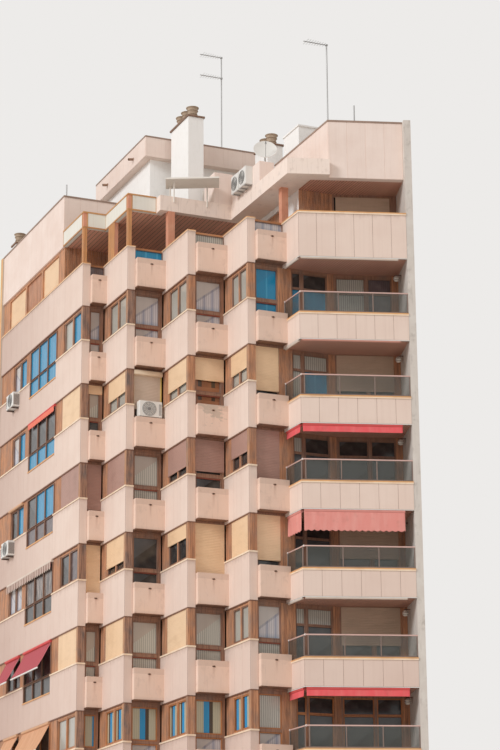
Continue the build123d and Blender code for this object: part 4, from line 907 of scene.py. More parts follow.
# Dark brown of the tracks under the bands, also painted shade for the shadow gap there; the shop frames use it as plain
# brown metal.
TRACK = Metal("enamelled_steel_track_brown", "#8A5F4A", 0.5, worn="#6A4A38", amount=0.3)
PLANTER = Cast("cast_concrete_planter", "#EFD1BE", 0.85, stain="#A98E7E", bleach="#F3D9C9", amount=0.22,
               middles=tuple(step.plan((BLOCK.clad_return + step.length) / 2, 0.0)[0] for step in STEPS),
               peeled=((STEPS[2].plan(0.85, 0.0)[0], SILLS[6] - 0.62),))
BEAM = Concrete("painted_render_beam", "#FBE8DB", 0.85, stain="#A89080", bleach="#F8E8DE", amount=0.3)
OCHRE = PartyWall("lime_render_ochre", "#E2B37E", 0.9, stain="#A57A50", bleach="#EFC898", amount=0.3)
RENDER = Concrete("lime_render_grey", "#D8CFC6", 0.9, stain="#8F857B", bleach="#E8E2DA")
WHITE = Concrete("lime_render_white", "#FCFAF7", 0.9, stain="#C6BEB4", bleach="#FFFDFB", amount=0.15)
BARE = Concrete("bare_concrete", "#A9A39B", 0.9, stain="#6F6A64", bleach="#BDB7AF")
COLUMN = Concrete("painted_column_salmon", "#D9977A", 0.8, stain="#A0664C", bleach="#E6B496", amount=0.35)
STUDIO_FLOOR = Concrete("studio_floor", "#E4E2DF", 0.9, stain="#D2D0CC", bleach="#ECEAE8")
GROUND = Stone("honed_limestone", "#CFC2B2", 0.6)
POSTS = Timber("oiled_pine_boards", "#D6A27C", 0.65, dark="#8A5C44", weathered="#8E7C72", grey=0.65)
GREYED = Timber("oiled_pine_boards_greyed", "#BC9078", 0.7, dark="#7A5844", weathered="#716A68", grey=0.85,
                stained=0.6)
PIERS = Timber("oiled_pine_boards_red", "#D89C74", 0.65, dark="#86543C", weathered="#937C70", grey=0.5)
JOINERY = Timber("varnished_pine_joinery", "#A57A62", 0.45, dark="#6A4636", weathered="#7C6C64", grey=0.5)
SHUTTER_BOARDS = Timber("oiled_shutter_boards", "#D8A07E", 0.6, dark="#9A5C40", weathered="#B08E7C", grey=0.3)
RED_JOINERY = Timber("varnished_pine_transom", "#9A4E38", 0.45, dark="#63301F", grey=0.1, upright=False)
BRIGHT_JOINERY = Timber("varnished_pine_joinery_new", "#C98450", 0.4, dark="#8A5230", grey=0.08, stained=0.3)
RAILING = Timber("varnished_pine_handrail", "#C98A58", 0.5, dark="#8A5A38", grey=0.25, upright=False)
EDGE_TIMBER = Timber("oiled_pine_edge", "#DCA56C", 0.6, dark="#9A6238", grey=0.25, upright=False)
EDGE_POSTS = Timber("oiled_pine_posts_orange", "#E0A268", 0.6, dark="#A0683E", grey=0.25, stained=0.25)
BALCONY_CEILING = Ceiling("varnished_ceiling_boards_dark", "#E8B09A", 0.5, dark="#A26E5E")
TERRACE_CEILING = Ceiling("varnished_ceiling_boards", "#F6BCA2", 0.5, board=0.16, dark="#9E6856")
BEIGE = Slats("pvc_shutter_beige", "#F5D0A8", 0.5, dust="#D0A87E")
MAUVE = Slats("pvc_shutter_mauve", "#B28A7C", 0.5, dust="#8A675C", bleached="#C29E92")
BROWN = Slats("pvc_shutter_brown", "#B78066", 0.5, dust="#8A5C46", bleached="#C8967C")
TAUPE = Slats("pvc_shutter_taupe", "#C4A890", 0.5, dust="#96806C", bleached="#D0B8A2")
GREY_BEIGE = Slats("pvc_shutter_grey_beige", "#CDB9A8", 0.5, dust="#B09A80", bleached="#D6C4B4")
BOX = Metal("enamelled_shutter_box_cream", "#EFD9BE", 0.45, worn="#BFA283")
GUIDE = Metal("enamelled_guide_yellow", "#D9BE6A", 0.45, worn="#A88C4A")
RAIL = Metal("enamelled_rail_pink", "#E2BEB4", 0.35, worn="#A88A80", amount=0.2)
RAIL_POST = Metal("anodised_post_brown", "#8A766C", 0.4, worn="#5E504A")
STEEL = Metal("galvanised_steel", "#A6A4A2", 0.4, 0.7, worn="#75706C")
WHITE_METAL = Metal("enamelled_steel_white", "#EFEDE8", 0.35, worn="#B8B0A4", amount=0.15)
DARK_METAL = Metal("cast_iron_brown", "#4A3026", 0.55, worn="#7A5A45")
SPOUT = Metal("cast_pipe_beige", "#A58470", 0.6, worn="#6E5444", amount=0.4)
GREY_METAL = Metal("enamelled_steel_grey", "#8E8C8A", 0.45, worn="#5E5A58")
PANEL_METAL = Metal("enamelled_panel_light", "#EDE7DE", 0.5, worn="#B8AEA2", amount=0.2)
STACK_CAP = Metal("painted_stack_coping", "#8E6F5C", 0.7, worn="#5E4A3E", amount=0.3)
POTS = Clay("terracotta_pot", "#B9A48E", 0.85)
GRAVEL = Gravel("roof_gravel", "#B5AA9C", 0.95)
SOIL = Gravel("potting_soil", "#5F4736", 1.0, dark="#33241A", grit=0.02)
TINTED = Finish("tinted_float_glass", "#5A5E59", 0.1, solid=0.3)
# Room glass: the dark of the room behind is painted shade, crossed by a painted reflection of a roof line.
CLEAR_GLASS = Pane("float_glass_room", "#2C2A2B", 0.12, clear=1.0)
GLOBE = Finish("opal_lamp_glass", "#EDE6DA", 0.2, clear=0.6)
RED = Canvas("acrylic_canvas_red", "#EC6064", 0.85, faded="#EE8A86")
CORAL = Canvas("acrylic_canvas_coral", "#F07C66", 0.85, faded="#F79A84")
# Darker red than the balcony canvas, as painted shade on the let-down awnings; its lighter stripes are the canvas's
# own.
RED_IN_PAINTED_SHADE = Canvas("acrylic_canvas_red_painted_shade", "#A83642", 0.85, faded="#BC565E", stripe="#C86A70", pitch=0.26)
PINK = Canvas("acrylic_canvas_faded", "#E8968C", 0.85, faded="#F4B8AC")
PEACH = Canvas("acrylic_canvas_peach", "#D9A27C", 0.85, faded="#EBC09C")
STRIPED = Canvas("acrylic_canvas_striped", "#D6C2B4", 0.85, faded="#D9C6B8", stripe="#7A463C", pitch=0.2)
ROLLED = tuple(Metal(f"rolled_canvas_{name}", colour, 0.8, worn=worn, amount=0.2) for name, colour, worn in (
    ("red", "#DC5A58", "#A33F3A"), ("cream", "#E6D6C8", "#B39A88"), ("peach", "#DDB08C", "#A87C5C"),
    ("salmon", "#DDA090", "#B07A6C"), ("pink", "#E59A90", "#B5736A")))
PANES = tuple(Pane(f"float_glass_{look.name.lower()}", look.value[1], 0.2, clear=0.2, look=look) for look in Light)


# Sub-assemblies


class Assembly:
    """A sub-assembly, whose add methods each build a piece or two."""

    def build(self) -> None:
        """Run the add methods in the order that they are written."""
        for name, method in vars(type(self)).items():
            if name.startswith("add_"):
                method(self)


@dataclass
class Bands(Assembly):
    """Clad bands: their panels, copings and the tracks under them, whose dark brown is also painted shade for the
    shadow gap under each band.
    """

    panel: float = 0.66
    joint: float = 0.011
    proud: float = 0.009
    overhang: float = 0.032
    edge: float = -0.034
    track: float = 0.028

    def edges(self, stop: float, pitch: float = panel, cuts: tuple = ()) -> tuple[Array, Array]:
        """Left and right edges of panels up to a place, with extra cuts."""
        places = np.unique(np.concatenate([np.arange(0.0, stop - 0.12, pitch), [stop], cuts]))
        return places[:-1], places[1:]

    def panels(self, surface: Surface, run: Run, spans: tuple[Array, Array], low: Value, high: Value) -> None:
        """Add panels with joints between them over spans of a run, once at each height."""
        gap = self.joint / 2
        left, right = (side[:, None] for side in spans)
        surface.blocks(run, (left + gap, right - gap), (-self.proud, 0.004), (low + gap, high - gap), 0.003)

    def add_wing_panels(self) -> None:
        """Panels of the left wing, cut lower under the wide window."""
        surface = Surface(11)
        left, right = self.edges(LEFT.length, cuts=WIDE_BAY)
        under = (left > WIDE_BAY[0] - 0.01) & (right < WIDE_BAY[1] + 0.01)
        for part, drop in ((~under, BLOCK.cap), (under, LEFT_DROP)):
            self.panels(surface, LEFT, (left[part], right[part]), BAND_FEET[:-1], WINDOWS - drop)
        self.panels(surface, LEFT, (left, right), BAND_FEET[-1], TERRACE - BLOCK.cap)
        show("left_wing_panels", surface, "cladding", CLADDING)

    def add_tooth_panels(self) -> None:
        """Panels of the tooth sides and of the returns beside the planters."""
        surface = Surface(12)
        for side in SIDES[:-1]:
            self.panels(surface, side, self.edges(side.length), BAND_FEET, SILLS - BLOCK.cap)
        for step in STEPS:
            self.panels(surface, step, (np.zeros(1), np.full(1, BLOCK.clad_return)), BAND_FEET, SILLS - BLOCK.cap)
        show("tooth_panels", surface, "cladding", CLADDING)

    def add_balcony_panels(self) -> None:
        """Panels of the balcony parapets, the first joint 0.62 m from the corner."""
        surface = Surface(13)
        for run, joints in ((WING, (0.62, 1.27, 1.92, 2.57, 3.22)), (SIDES[-1], (0.33,))):
            places = np.array([0.0, *joints, run.length])
            self.panels(surface, run, (places[:-1], places[1:]), BAND_FEET, BALCONY_TOPS - BLOCK.cap)
        show("balcony_panels", surface, "cladding", CLADDING)

    def add_copings(self) -> None:
        """Copings with a sloped top and a drip edge, mitred round every corner; the higher ones have an ochre edge."""
        front, edge, back, top, cap = -self.overhang, self.edge, 0.12, 0.004, BLOCK.cap
        drip = [(front, -cap - 0.012), (front + 0.006, -cap - 0.012), (front + 0.006, -cap), (back, -cap)]
        whole = np.array([*drip, (back, top), (0.02, top), (front, -0.008)])
        lower = np.array([*drip, (back, edge), (front, edge)])
        upper = np.array([(front - 0.004, edge), (back, edge), (back, top), (0.02, top), (front - 0.004, -0.008)])
        surface = Surface(14)
        for step in range(len(STEPS)):
            path = walked(step)
            surface.mitred(path, lower, TERRACE)
            surface.mitred(path, upper, TERRACE, 1)
            if step:
                surface.mitred(path, whole, WINDOWS)
                continue
            start, stop = (LEFT.plan(place, 0.0) for place in WIDE_BAY)
            surface.mitred([start, *path[1:]], whole, WINDOWS)
            surface.mitred([path[0], stop], whole, WINDOWS)
            surface.mitred([stop, start], whole, WINDOWS - LEFT_DROP + cap, 1)
        lower[:2, 1] -= 0.035
        lower[4:, 1] = upper[:2, 1] = edge - 0.012
        surface.mitred(BALCONY_PATH, lower, BALCONY_TOPS)
        surface.mitred(BALCONY_PATH, upper, BALCONY_TOPS, 1)
        show("copings", surface, "coping", CAP, CAP_EDGE, replaces=("band_caps", "balcony_front_caps"))

    def add_tracks(self) -> None:
        """Brown tracks under the bands, where the shutters come out; their dark brown is also painted shade for the
        shadow gap under each band.
        """
        surface = Surface(15)
        for path in (*map(walked, range(len(STEPS))), BALCONY_PATH):
            surface.mitred(path, outline(0.012, 0.06, -self.track, -0.002), WINDOWS + STRIP)
        show("shutter_tracks_and_painted_shadow_gaps", surface, "dark_metal", TRACK)


@dataclass
class Planters(Assembly):
    """What shows on the planters: spouts, soil and the timber under them."""

    rim_drop: float = 0.5
    high: float = 1.07
    out: float = 0.23
    rim: float = 0.06
    soil_drop: float = 0.05
    board: float = 0.1

    def add_spouts(self) -> None:
        """Oval drain openings with a raised rim and a short tube, high on the front of each planter.

        A ring of the rim is an ellipse as wide as its radius and half as high.
        """
        surface, angle, high = Surface(21), circle(20), SILLS - self.rim_drop - 0.2
        tube = [(0.008, -0.04), (0.02, -0.04), (0.02, 0.035), (0.013, 0.035), (0.013, 0.0), (0.008, 0.0)]
        rim = [(0.03, 0.002), (0.03, -0.003), (0.04, -0.012), (0.055, -0.012), (0.064, -0.004), (0.064, 0.002)]
        for step in STEPS:
            middle = (BLOCK.clad_return + step.length) / 2
            ellipse = [at(middle + radius * np.cos(angle), depth - self.out, 0.5 * radius * np.sin(angle))
                       for radius, depth in rim]
            rings = np.stack(ellipse)[None] + high[:, None, None, None] * np.array(UP)
            surface.tubes(step.place(rings), 1, closed=True)
            surface.turned(step.spot(middle, -self.out, high), (0.0, -1.0, -0.08), tube, 12, 0, closed=True)
        show("planter_spouts", surface, "dark_metal", DARK_METAL, SPOUT, smooth=40)

    def add_soil(self) -> None:
        """Uneven soil: a grid whose height is the product of two waves and a little noise."""
        surface = Surface(22)
        u, v = np.meshgrid(np.linspace(0, 1, 22), np.linspace(0, 1, 9))
        for step in STEPS:
            s = BLOCK.clad_return + self.rim + u * (step.length - BLOCK.clad_return - 2 * self.rim)
            t = self.rim - self.out + v * (self.out + BLOCK.recess - 2 * self.rim)
            for level, sill in enumerate(SILLS):
                crumbs = surface.random.normal(0, 0.004, u.shape)
                wave = 0.012 * np.sin(7 * u + level) * np.sin(3 * v + 1) + 0.014
                z = sill - self.rim_drop - self.soil_drop + np.maximum(wave + crumbs, 0.002)
                surface.sheets(step.place(np.stack([s, t, z], axis=-1))[None], np.stack([s, t], axis=-1)[None])
        show("planter_soil", surface, "planter_concrete", SOIL, smooth=60)

    def add_soffits(self) -> None:
        """A boarded soffit and a head rail under each planter."""
        surface, low = Surface(23), SILLS - self.rim_drop - self.high
        for step in STEPS:
            start, stop = BLOCK.clad_return + 0.02, step.length - 0.02
            places = np.linspace(start, stop, int((step.length - BLOCK.clad_return) // self.board) + 1)[:, None]
            surface.blocks(step, (places[:-1] + 0.003, places[1:] - 0.003), (-self.out + 0.03, BLOCK.recess + 0.02),
                           (low - 0.022, low), 0.004)
            surface.blocks(step, (start - 0.01, stop + 0.01), (BLOCK.recess - 0.03, BLOCK.recess),
                           (low - 0.1, low - 0.022), 0.006)
        show("planter_soffits", surface, "timber", JOINERY)


@dataclass
class Boards(Assembly):
    """Boarded posts on the corners and boarded piers between windows."""

    skin: float = 0.02
    clear: float = 0.66
    span: tuple = (WINDOWS + 0.004, WINDOWS + STRIP - 0.002)

    def add_posts(self) -> None:
        """Boarded posts: a core, boards on the front and boards on the side."""
        surface = Surface(31)
        core = self.skin + surface.board_proud
        for number, (side, step) in enumerate(zip((LEFT, *SIDES), STEPS)):
            surface.blocks(step, (core, BLOCK.clad_return), (core, BLOCK.post), self.span)
            surface.boards(step, (self.skin, BLOCK.clad_return), core, self.span, 1 if number < 2 else 2)
            surface.boards(side, (self.skin, BLOCK.post), core, self.span)
        show("boarded_posts", surface, "timber", POSTS, GREYED, PIERS, replaces=("corner_posts",))

    def add_piers(self) -> None:
        """Boards on the piers of the left wing, of the tooth sides, of the last tooth and of the balconies."""
        surface, last = Surface(32), STEPS[-1]
        piers = [(LEFT, (CORNER_BAY[1], WIDE_BAY[0])), (LEFT, (WIDE_BAY[1], SMALL_BAY[0])),
                 (LEFT, (SMALL_BAY[1], LEFT.length))]
        for run, s in piers + [(side, (side.length - BLOCK.boarded, side.length)) for side in SIDES[:-1]]:
            surface.boards(run, s, BLOCK.frame_set, self.span)
        surface.boards(last, (last.length - BLOCK.jambs[-1], last.length), BLOCK.recess, (FLOORS + 0.05, self.span[1]))
        long, wide = BALCONY_LEFT.length, BALCONY_BACK.length
        for run, s in ((BALCONY_LEFT, (0.0, BLOCK.near_pier)), (BALCONY_LEFT, (long - BLOCK.far_pier, long)),
                       (BALCONY_BACK, (wide - BLOCK.back_pier, wide))):
            surface.boards(run, s, 0.0, (FLOORS, FLOORS + BLOCK.storey - self.clear))
        show("pier_boards", surface, "timber", PIERS)


# What the bays of each storey show, a bay by its own name or by the first letter that a group shares
LOOKS = {
    8: {Light.SLATE: "T1", Light.SKY: "T2", Light.PLEATS: "T3", Light.VEIL: "T4"},
    7: {Light.SKY: "W V L0 N0 P4 Q4 DC0 DC1", Light.PLEATS: "L1 S B DB0", Light.VEIL: "N1 P Q",
        Light.SLATE: "B1 DB1"},
    6: {Light.SKY: "V N0 DC1", Light.VEIL: "N1", Light.PLEATS: "S C DC0", Light.WEDGE: "P1",
        Light.TIMBER: "P3 Q3"},
    5: {Light.SKY: "W0 W1 N0", Light.SLATE: "V", Light.WEDGE: "P", Light.PLEATS: "Q C0", Light.DARK: "P3 Q3"},
    4: {Light.STREAKED: "W", Light.VEIL: "N", Light.SLATE: "L0"},
    3: {Light.WEDGE: "P", Light.PLEATS: "Q S C", Light.VEIL: "P4"},
    2: {Light.HALF: "P S", Light.PLEATS: "L P4", Light.VEIL: "Q"},
}


@dataclass
class Windows(Assembly):
    """Sashes inside the frames and the panes in them.

    On the balconies the side light ends at the side stile, and the doors are split from the lights above them.
    """

    sash: float = 0.045
    thin_sash: float = 0.02
    deep: float = 0.05
    set_back: float = 0.012
    glass_set: float = 0.004
    wide_gap: float = 0.01
    wide_frame: float = 0.03
    transom: float = 0.04
    planter_light: Pair = (-0.94, -0.06)
    terrace_light: Pair = (-0.49, -0.1)
    side_stile: float = 0.7
    mullion: float = 0.08
    door_split: float = 1.6
    door_head: float = 2.18

    def lights(self) -> list[tuple[Run, str, float, float, float, Array, Array]]:
        """Every light: run, bay, start, stop, front of the frame, lower edges and upper edges."""
        found = []
        high = WINDOWS + STRIP - BLOCK.head

        def halves(run: Run, bay: str, start: float, stop: float) -> None:
            """Split a window into two lights between its stiles."""
            stile, middle = BLOCK.stile, (start + stop) / 2
            for number, s in enumerate(((start + stile, middle - stile / 2), (middle + stile / 2, stop - stile))):
                found.append((run, f"{bay}{number}", *s, BLOCK.frame_set, WINDOWS + stile, high))

        halves(LEFT, "L", *CORNER_BAY)
        halves(LEFT, "N", *SMALL_BAY)
        thirds, gap, before = np.linspace(*WIDE_BAY, 4), self.wide_gap, BLOCK.frame_set - BLOCK.frame
        for number, s in enumerate(zip(thirds + gap / 2, thirds[1:] - gap / 2)):
            found.append((LEFT, f"V{number}", *s, before, WINDOWS - LEFT_DROP + self.wide_frame, WINDOWS - gap))
            found.append((LEFT, f"W{number}", *s, before, WINDOWS + self.wide_frame, high))
        for number, side in enumerate(SIDES[:-1], 2):
            halves(side, f"S{number}", BLOCK.post, side.length - BLOCK.boarded)
        for number, (step, jamb) in enumerate(zip(STEPS, BLOCK.jambs), 1):
            place = (BLOCK.clad_return + BLOCK.stile, step.length - jamb, BLOCK.recess)
            found.append((step, f"P{number}", *place, WINDOWS + self.transom, high))
            found.append((step, f"Q{number}", *place, *(WINDOWS + end for end in self.planter_light)))
        stile, half = BLOCK.stile, BALCONY_BACK.length / 2
        for run, bay, *s in ((BALCONY_LEFT, "C0", BLOCK.near_pier, self.side_stile),
                             (BALCONY_LEFT, "C1", self.side_stile + stile, BALCONY_LEFT.length - BLOCK.far_pier),
                             (BALCONY_BACK, "B0", stile, half - self.mullion / 2),
                             (BALCONY_BACK, "B1", half + self.mullion / 2, BALCONY_BACK.length - BLOCK.back_pier)):
            found.append((run, bay, *s, 0.0, FLOORS + self.door_split, FLOORS + self.door_head))
            found.append((run, f"D{bay}", *s, 0.0, FLOORS + stile, FLOORS + self.door_split))
        for number, step in enumerate(STEPS, 1):
            found.append((step, f"T{number}", BLOCK.clad_return, step.length - 0.02, BLOCK.recess - 0.09,
                          *(SILLS[-1:] + end for end in self.terrace_light)))
        return found

    def look(self, level: int, bay: str) -> Light:
        """What a pane shows: what its bay has on its storey, else its group of bays, else a dark room in painted shade.
        """
        if level not in LOOKS:
            return (Light.VEIL, Light.DARK, Light.PLEATS)[(level * 7 + sum(map(ord, bay))) % 3]
        shown = {name: look for look, names in LOOKS[level].items() for name in names.split()}
        return shown.get(bay, shown.get(bay[0], Light.DARK))

    def add_sashes_and_panes(self) -> None:
        """Sashes round every light, of brighter wood on the lower storeys, and a pane behind each."""
        sashes, panes = Surface(41), Surface(42)
        u, v = np.meshgrid([0.0, 1.0], [0.0, 1.0])
        for run, bay, left, right, front, low, high in self.lights():
            levels = np.arange(len(low)) + (len(WINDOWS) if bay[0] == "T" else 0)
            wide = self.thin_sash if bay[0] in "WVT" else self.sash
            start, fresh = front + self.set_back, np.where(levels <= 2, 1, 0)
            sashes.framed(run, (left, right), (start, start + self.deep), (low, high), (wide, wide), 0.006, fresh,
                          np.where(levels > 2, 2, 1) if bay[0] == "Q" else None)
            up = v * (high - low)[:, None, None]
            grid = np.stack(np.broadcast_arrays(left + u * (right - left), front + BLOCK.frame - self.glass_set,
                                                low[:, None, None] + up), axis=-1)
            uv = np.stack(np.broadcast_arrays(u * (right - left), up), axis=-1)
            if run.along[0] * run.inward[1] < run.along[1] * run.inward[0]:  # else it would face the room
                grid, uv = grid[:, :, ::-1], uv[:, :, ::-1]
            panes.sheets(run.place(grid), uv, np.array([self.look(int(level), bay).value[0] for level in levels]))
        show("sashes", sashes, "timber", JOINERY, BRIGHT_JOINERY, RED_JOINERY)
        show("panes", panes, "window_glass", *PANES)


@dataclass
class Shutters(Assembly):
    """Roller shutters, each a curtain of bowed slats that hangs from the band above, one from a box outside.

    The tables give each shutter's storey and bay, and how much of the strip it covers.
    """

    pitch: float = 0.055
    bow: float = 0.007
    thick: float = 0.008
    hang: float = 0.024
    box: Pair = (0.14, 0.17)
    beige: str = ("0 P2 1.0, 0 S3 0.75, 0 P4 0.8, 1 L 1.0, 1 S2 0.6, 1 S4 0.6, 1 P3 0.5, 3 L 1.0, 3 S2 1.0, 3 S3 1.0, "
                  "3 B 1.0, 4 P1 1.38, 4 S2 0.75, 4 S3 0.4, 4 P3 1.38, 4 S4 1.0, 4 P4 1.2, 4 B 1.0, 6 L 1.0, "
                  "6 P1 0.25, 6 S2 0.6, 6 P2 1.1, 6 S3 0.7, 6 P3 0.63, 6 S4 0.6, 6 P4 1.22, 6 B 1.0")
    mauve: str = "5 L 1.0, 5 P1 1.3, 5 S2 1.0, 5 S3 0.75, 5 P3 0.87, 5 S4 0.6, 5 P4 1.34"

    def curtain(self, surface: Surface, run: Run, s: Pair, t: float, z: Pair, mark: int = 0) -> None:
        """Add a shutter: t is the front less the bow times the sine of half a turn over each slat.

        Args:
            surface: piece that gets it.
            run: stretch of facade.
            s: start and stop along it.
            t: place of its back.
            z: its ends.
            mark: material number.
        """
        low, high = z
        slats = max(2, round((high - low) / self.pitch))
        phase = np.linspace(0, slats, slats * 6 + 1)
        front = t - self.thick - self.bow * np.abs(np.sin(np.pi * phase))
        bowed = np.stack([0 * phase, front, low + (high - low) * phase / slats], axis=-1)
        surface.carried(run, np.concatenate([bowed, [[0, t, high], [0, t, low]]]), at(s[0], 0, 0), at(s[1], 0, 0), mark)
        surface.blocks(run, (s[0] + 0.004, s[1] - 0.004), (t - self.hang, t), (low - 0.02, low + 0.03), 0.006, mark)

    def bay(self, name: str) -> tuple[Run, Pair, float]:
        """Run, span and back of a bay's shutter."""
        if name == "L":
            return LEFT, CORNER_BAY, BLOCK.frame_set
        if name == "B":
            return WING, (WING.length - 2.25, WING.length - BLOCK.back_pier), BLOCK.balcony_depth
        number = int(name[1])
        if name[0] == "S":
            side = SIDES[number - 2]
            return side, (BLOCK.post, side.length - BLOCK.boarded), BLOCK.frame_set
        gap = BLOCK.jambs[-1] if number == len(STEPS) else 0.012
        return STEPS[number - 1], (BLOCK.clad_return, STEPS[number - 1].length - gap), BLOCK.recess

    def boxed(self, surface: Surface) -> None:
        """The box over one planter window, with side guides down to the end of its shutter."""
        run, (start, stop), back = self.bay("P2")
        (out, high), top, near = self.box, HEADS[6], back - 0.002
        surface.blocks(run, (start, stop), (back - out, near), (top - high, top - 0.002), 0.012, 3)
        for s in ((start + 0.002, start + 0.04), (stop - 0.05, stop - 0.004)):
            surface.blocks(run, s, (back - 0.04, near), (top - 1.1 * STRIP, top - high - 0.002), 0.004, 4)

    def add_shutters(self) -> None:
        """The beige and the mauve shutters."""
        for name, table, finishes in (("beige", self.beige, (BEIGE, TAUPE, GREY_BEIGE, BOX, GUIDE)),
                                      ("mauve", self.mauve, (MAUVE,))):
            surface = Surface(51)
            for level, bay, share in (row.split() for row in table.split(", ")):
                top = HEADS[int(level)]
                mark = 1 if bay == "B" else 2 if level + bay == "6P2" else 0
                self.curtain(surface, *self.bay(bay), (top - STRIP * float(share), top), mark)
            if name == "beige":
                self.boxed(surface)
            show(f"{name}_roller_shutters", surface, f"{name}_slats", *finishes, replaces=(f"{name}_shutters",),
                 smooth=50)

    def add_attic_shutters(self) -> None:
        """The attic shutters, the middle one of boards, and the one behind the terrace."""
        surface, back, top, low = Surface(52), BLOCK.frame_set + BLOCK.frame, EAVES - BLOCK.head, BLOCK.stile
        self.curtain(surface, LEFT, (3.0, 4.9), back, (TERRACE + low, top))
        surface.boards(LEFT, (5.1, 6.9), back, (TERRACE + low, top), 1)
        self.curtain(surface, LEFT, (7.1, 9.1), back, (TERRACE + low, top))
        self.curtain(surface, BALCONY_BACK, (0.12, BALCONY_BACK.length - BLOCK.back_pier), -0.004,
                     (TERRACE_FLOOR + low, top), 2)
        show("attic_roller_shutters", surface, "brown_slats", BEIGE, SHUTTER_BOARDS, TAUPE,
             replaces=("attic_shutters",), smooth=50)


@dataclass
class Balconies(Assembly):
    """Rails, lamps and ceiling edges of the balconies."""

    rail: float = 0.05
    rail_rise: float = 0.05
    post: float = 0.04
    ball: float = 0.036
    lamp: float = 0.11

    def add_rails(self) -> None:
        """Round handrails with ball caps, posts with feet and a clamp rail below the glass."""
        surface, low = Surface(61), WINDOWS - BLOCK.parapet_drop
        half, middle, post = self.rail / 2, BLOCK.parapet / 2, self.post
        angle, turn = circle(10), np.linspace(-0.5, 0.5, 9) * np.pi
        tube = np.stack([middle - half * np.cos(angle), self.rail_rise - half + half * np.sin(angle)], axis=-1)
        surface.mitred(BALCONY_PATH, tube, WINDOWS)
        surface.mitred(BALCONY_PATH, outline(middle - 0.02, middle + 0.02, 0.0, 0.045), low, 1)
        for run, bays in ((SIDES[-1], 1), (WING, 3)):
            places = np.linspace(BLOCK.parapet, run.length - post, bays + 1)[:, None]
            surface.blocks(run, (places, places + post), (middle - 0.02, middle + 0.02), (low, WINDOWS), 0.006, 1)
            surface.blocks(run, (places - 0.02, places + 0.06), (middle - 0.04, middle + 0.04), (low, low + 0.012),
                           0.003, 1)
        ball = np.stack([self.ball * np.cos(turn) + 0.0005, self.ball * np.sin(turn)], axis=-1)
        for s in (middle, SIDES[-1].length - post):
            surface.turned(SIDES[-1].spot(s, middle, WINDOWS + self.rail_rise - half), UP, ball, 12, 2)
        show("handrails", surface, "rail_metal", RAIL, RAIL_POST, WHITE_METAL, replaces=("balcony_rails",), smooth=40)

    def add_lamps(self) -> None:
        """Globe lamps: glass turned from a half circle, with hoops round it and a collar on an arm."""
        surface, turn = Surface(62), np.linspace(-0.47, 0.47, 15) * np.pi
        centre = WING.spot(WING.length - 0.17, 1.3, WINDOWS + 0.99)
        surface.turned(centre, UP, np.stack([self.lamp * np.cos(turn), self.lamp * np.sin(turn)], axis=-1), 20)
        for height in (-0.05, 0.0, 0.05):
            radius = math.sqrt(self.lamp ** 2 - height ** 2)
            surface.turned(centre, UP, hoop(radius - 0.004, radius + 0.003, height - 0.008, height + 0.008), 20, 1,
                           closed=True)
        surface.turned(centre, UP, [(0.02, 0.09), (0.05, 0.095), (0.05, 0.12), (0.02, 0.14)], 12, 1)
        surface.rods(centre + (0, 0, 0.13), WING.spot(WING.length, 1.3, WINDOWS + 1.12), 0.014, 8, 1)
        show("globe_lamps", surface, "lamp_glass", GLOBE, DARK_METAL, replaces=("balcony_lamps",), smooth=40)

    def add_edges(self) -> None:
        """Pale drip rails along the front edge of each balcony ceiling."""
        surface = Surface(63)
        surface.mitred(BALCONY_PATH, outline(-0.008, 0.03, -0.024, -0.002), BAND_FEET[1:])
        show("ceiling_edges", surface, "white_metal", WHITE_METAL)


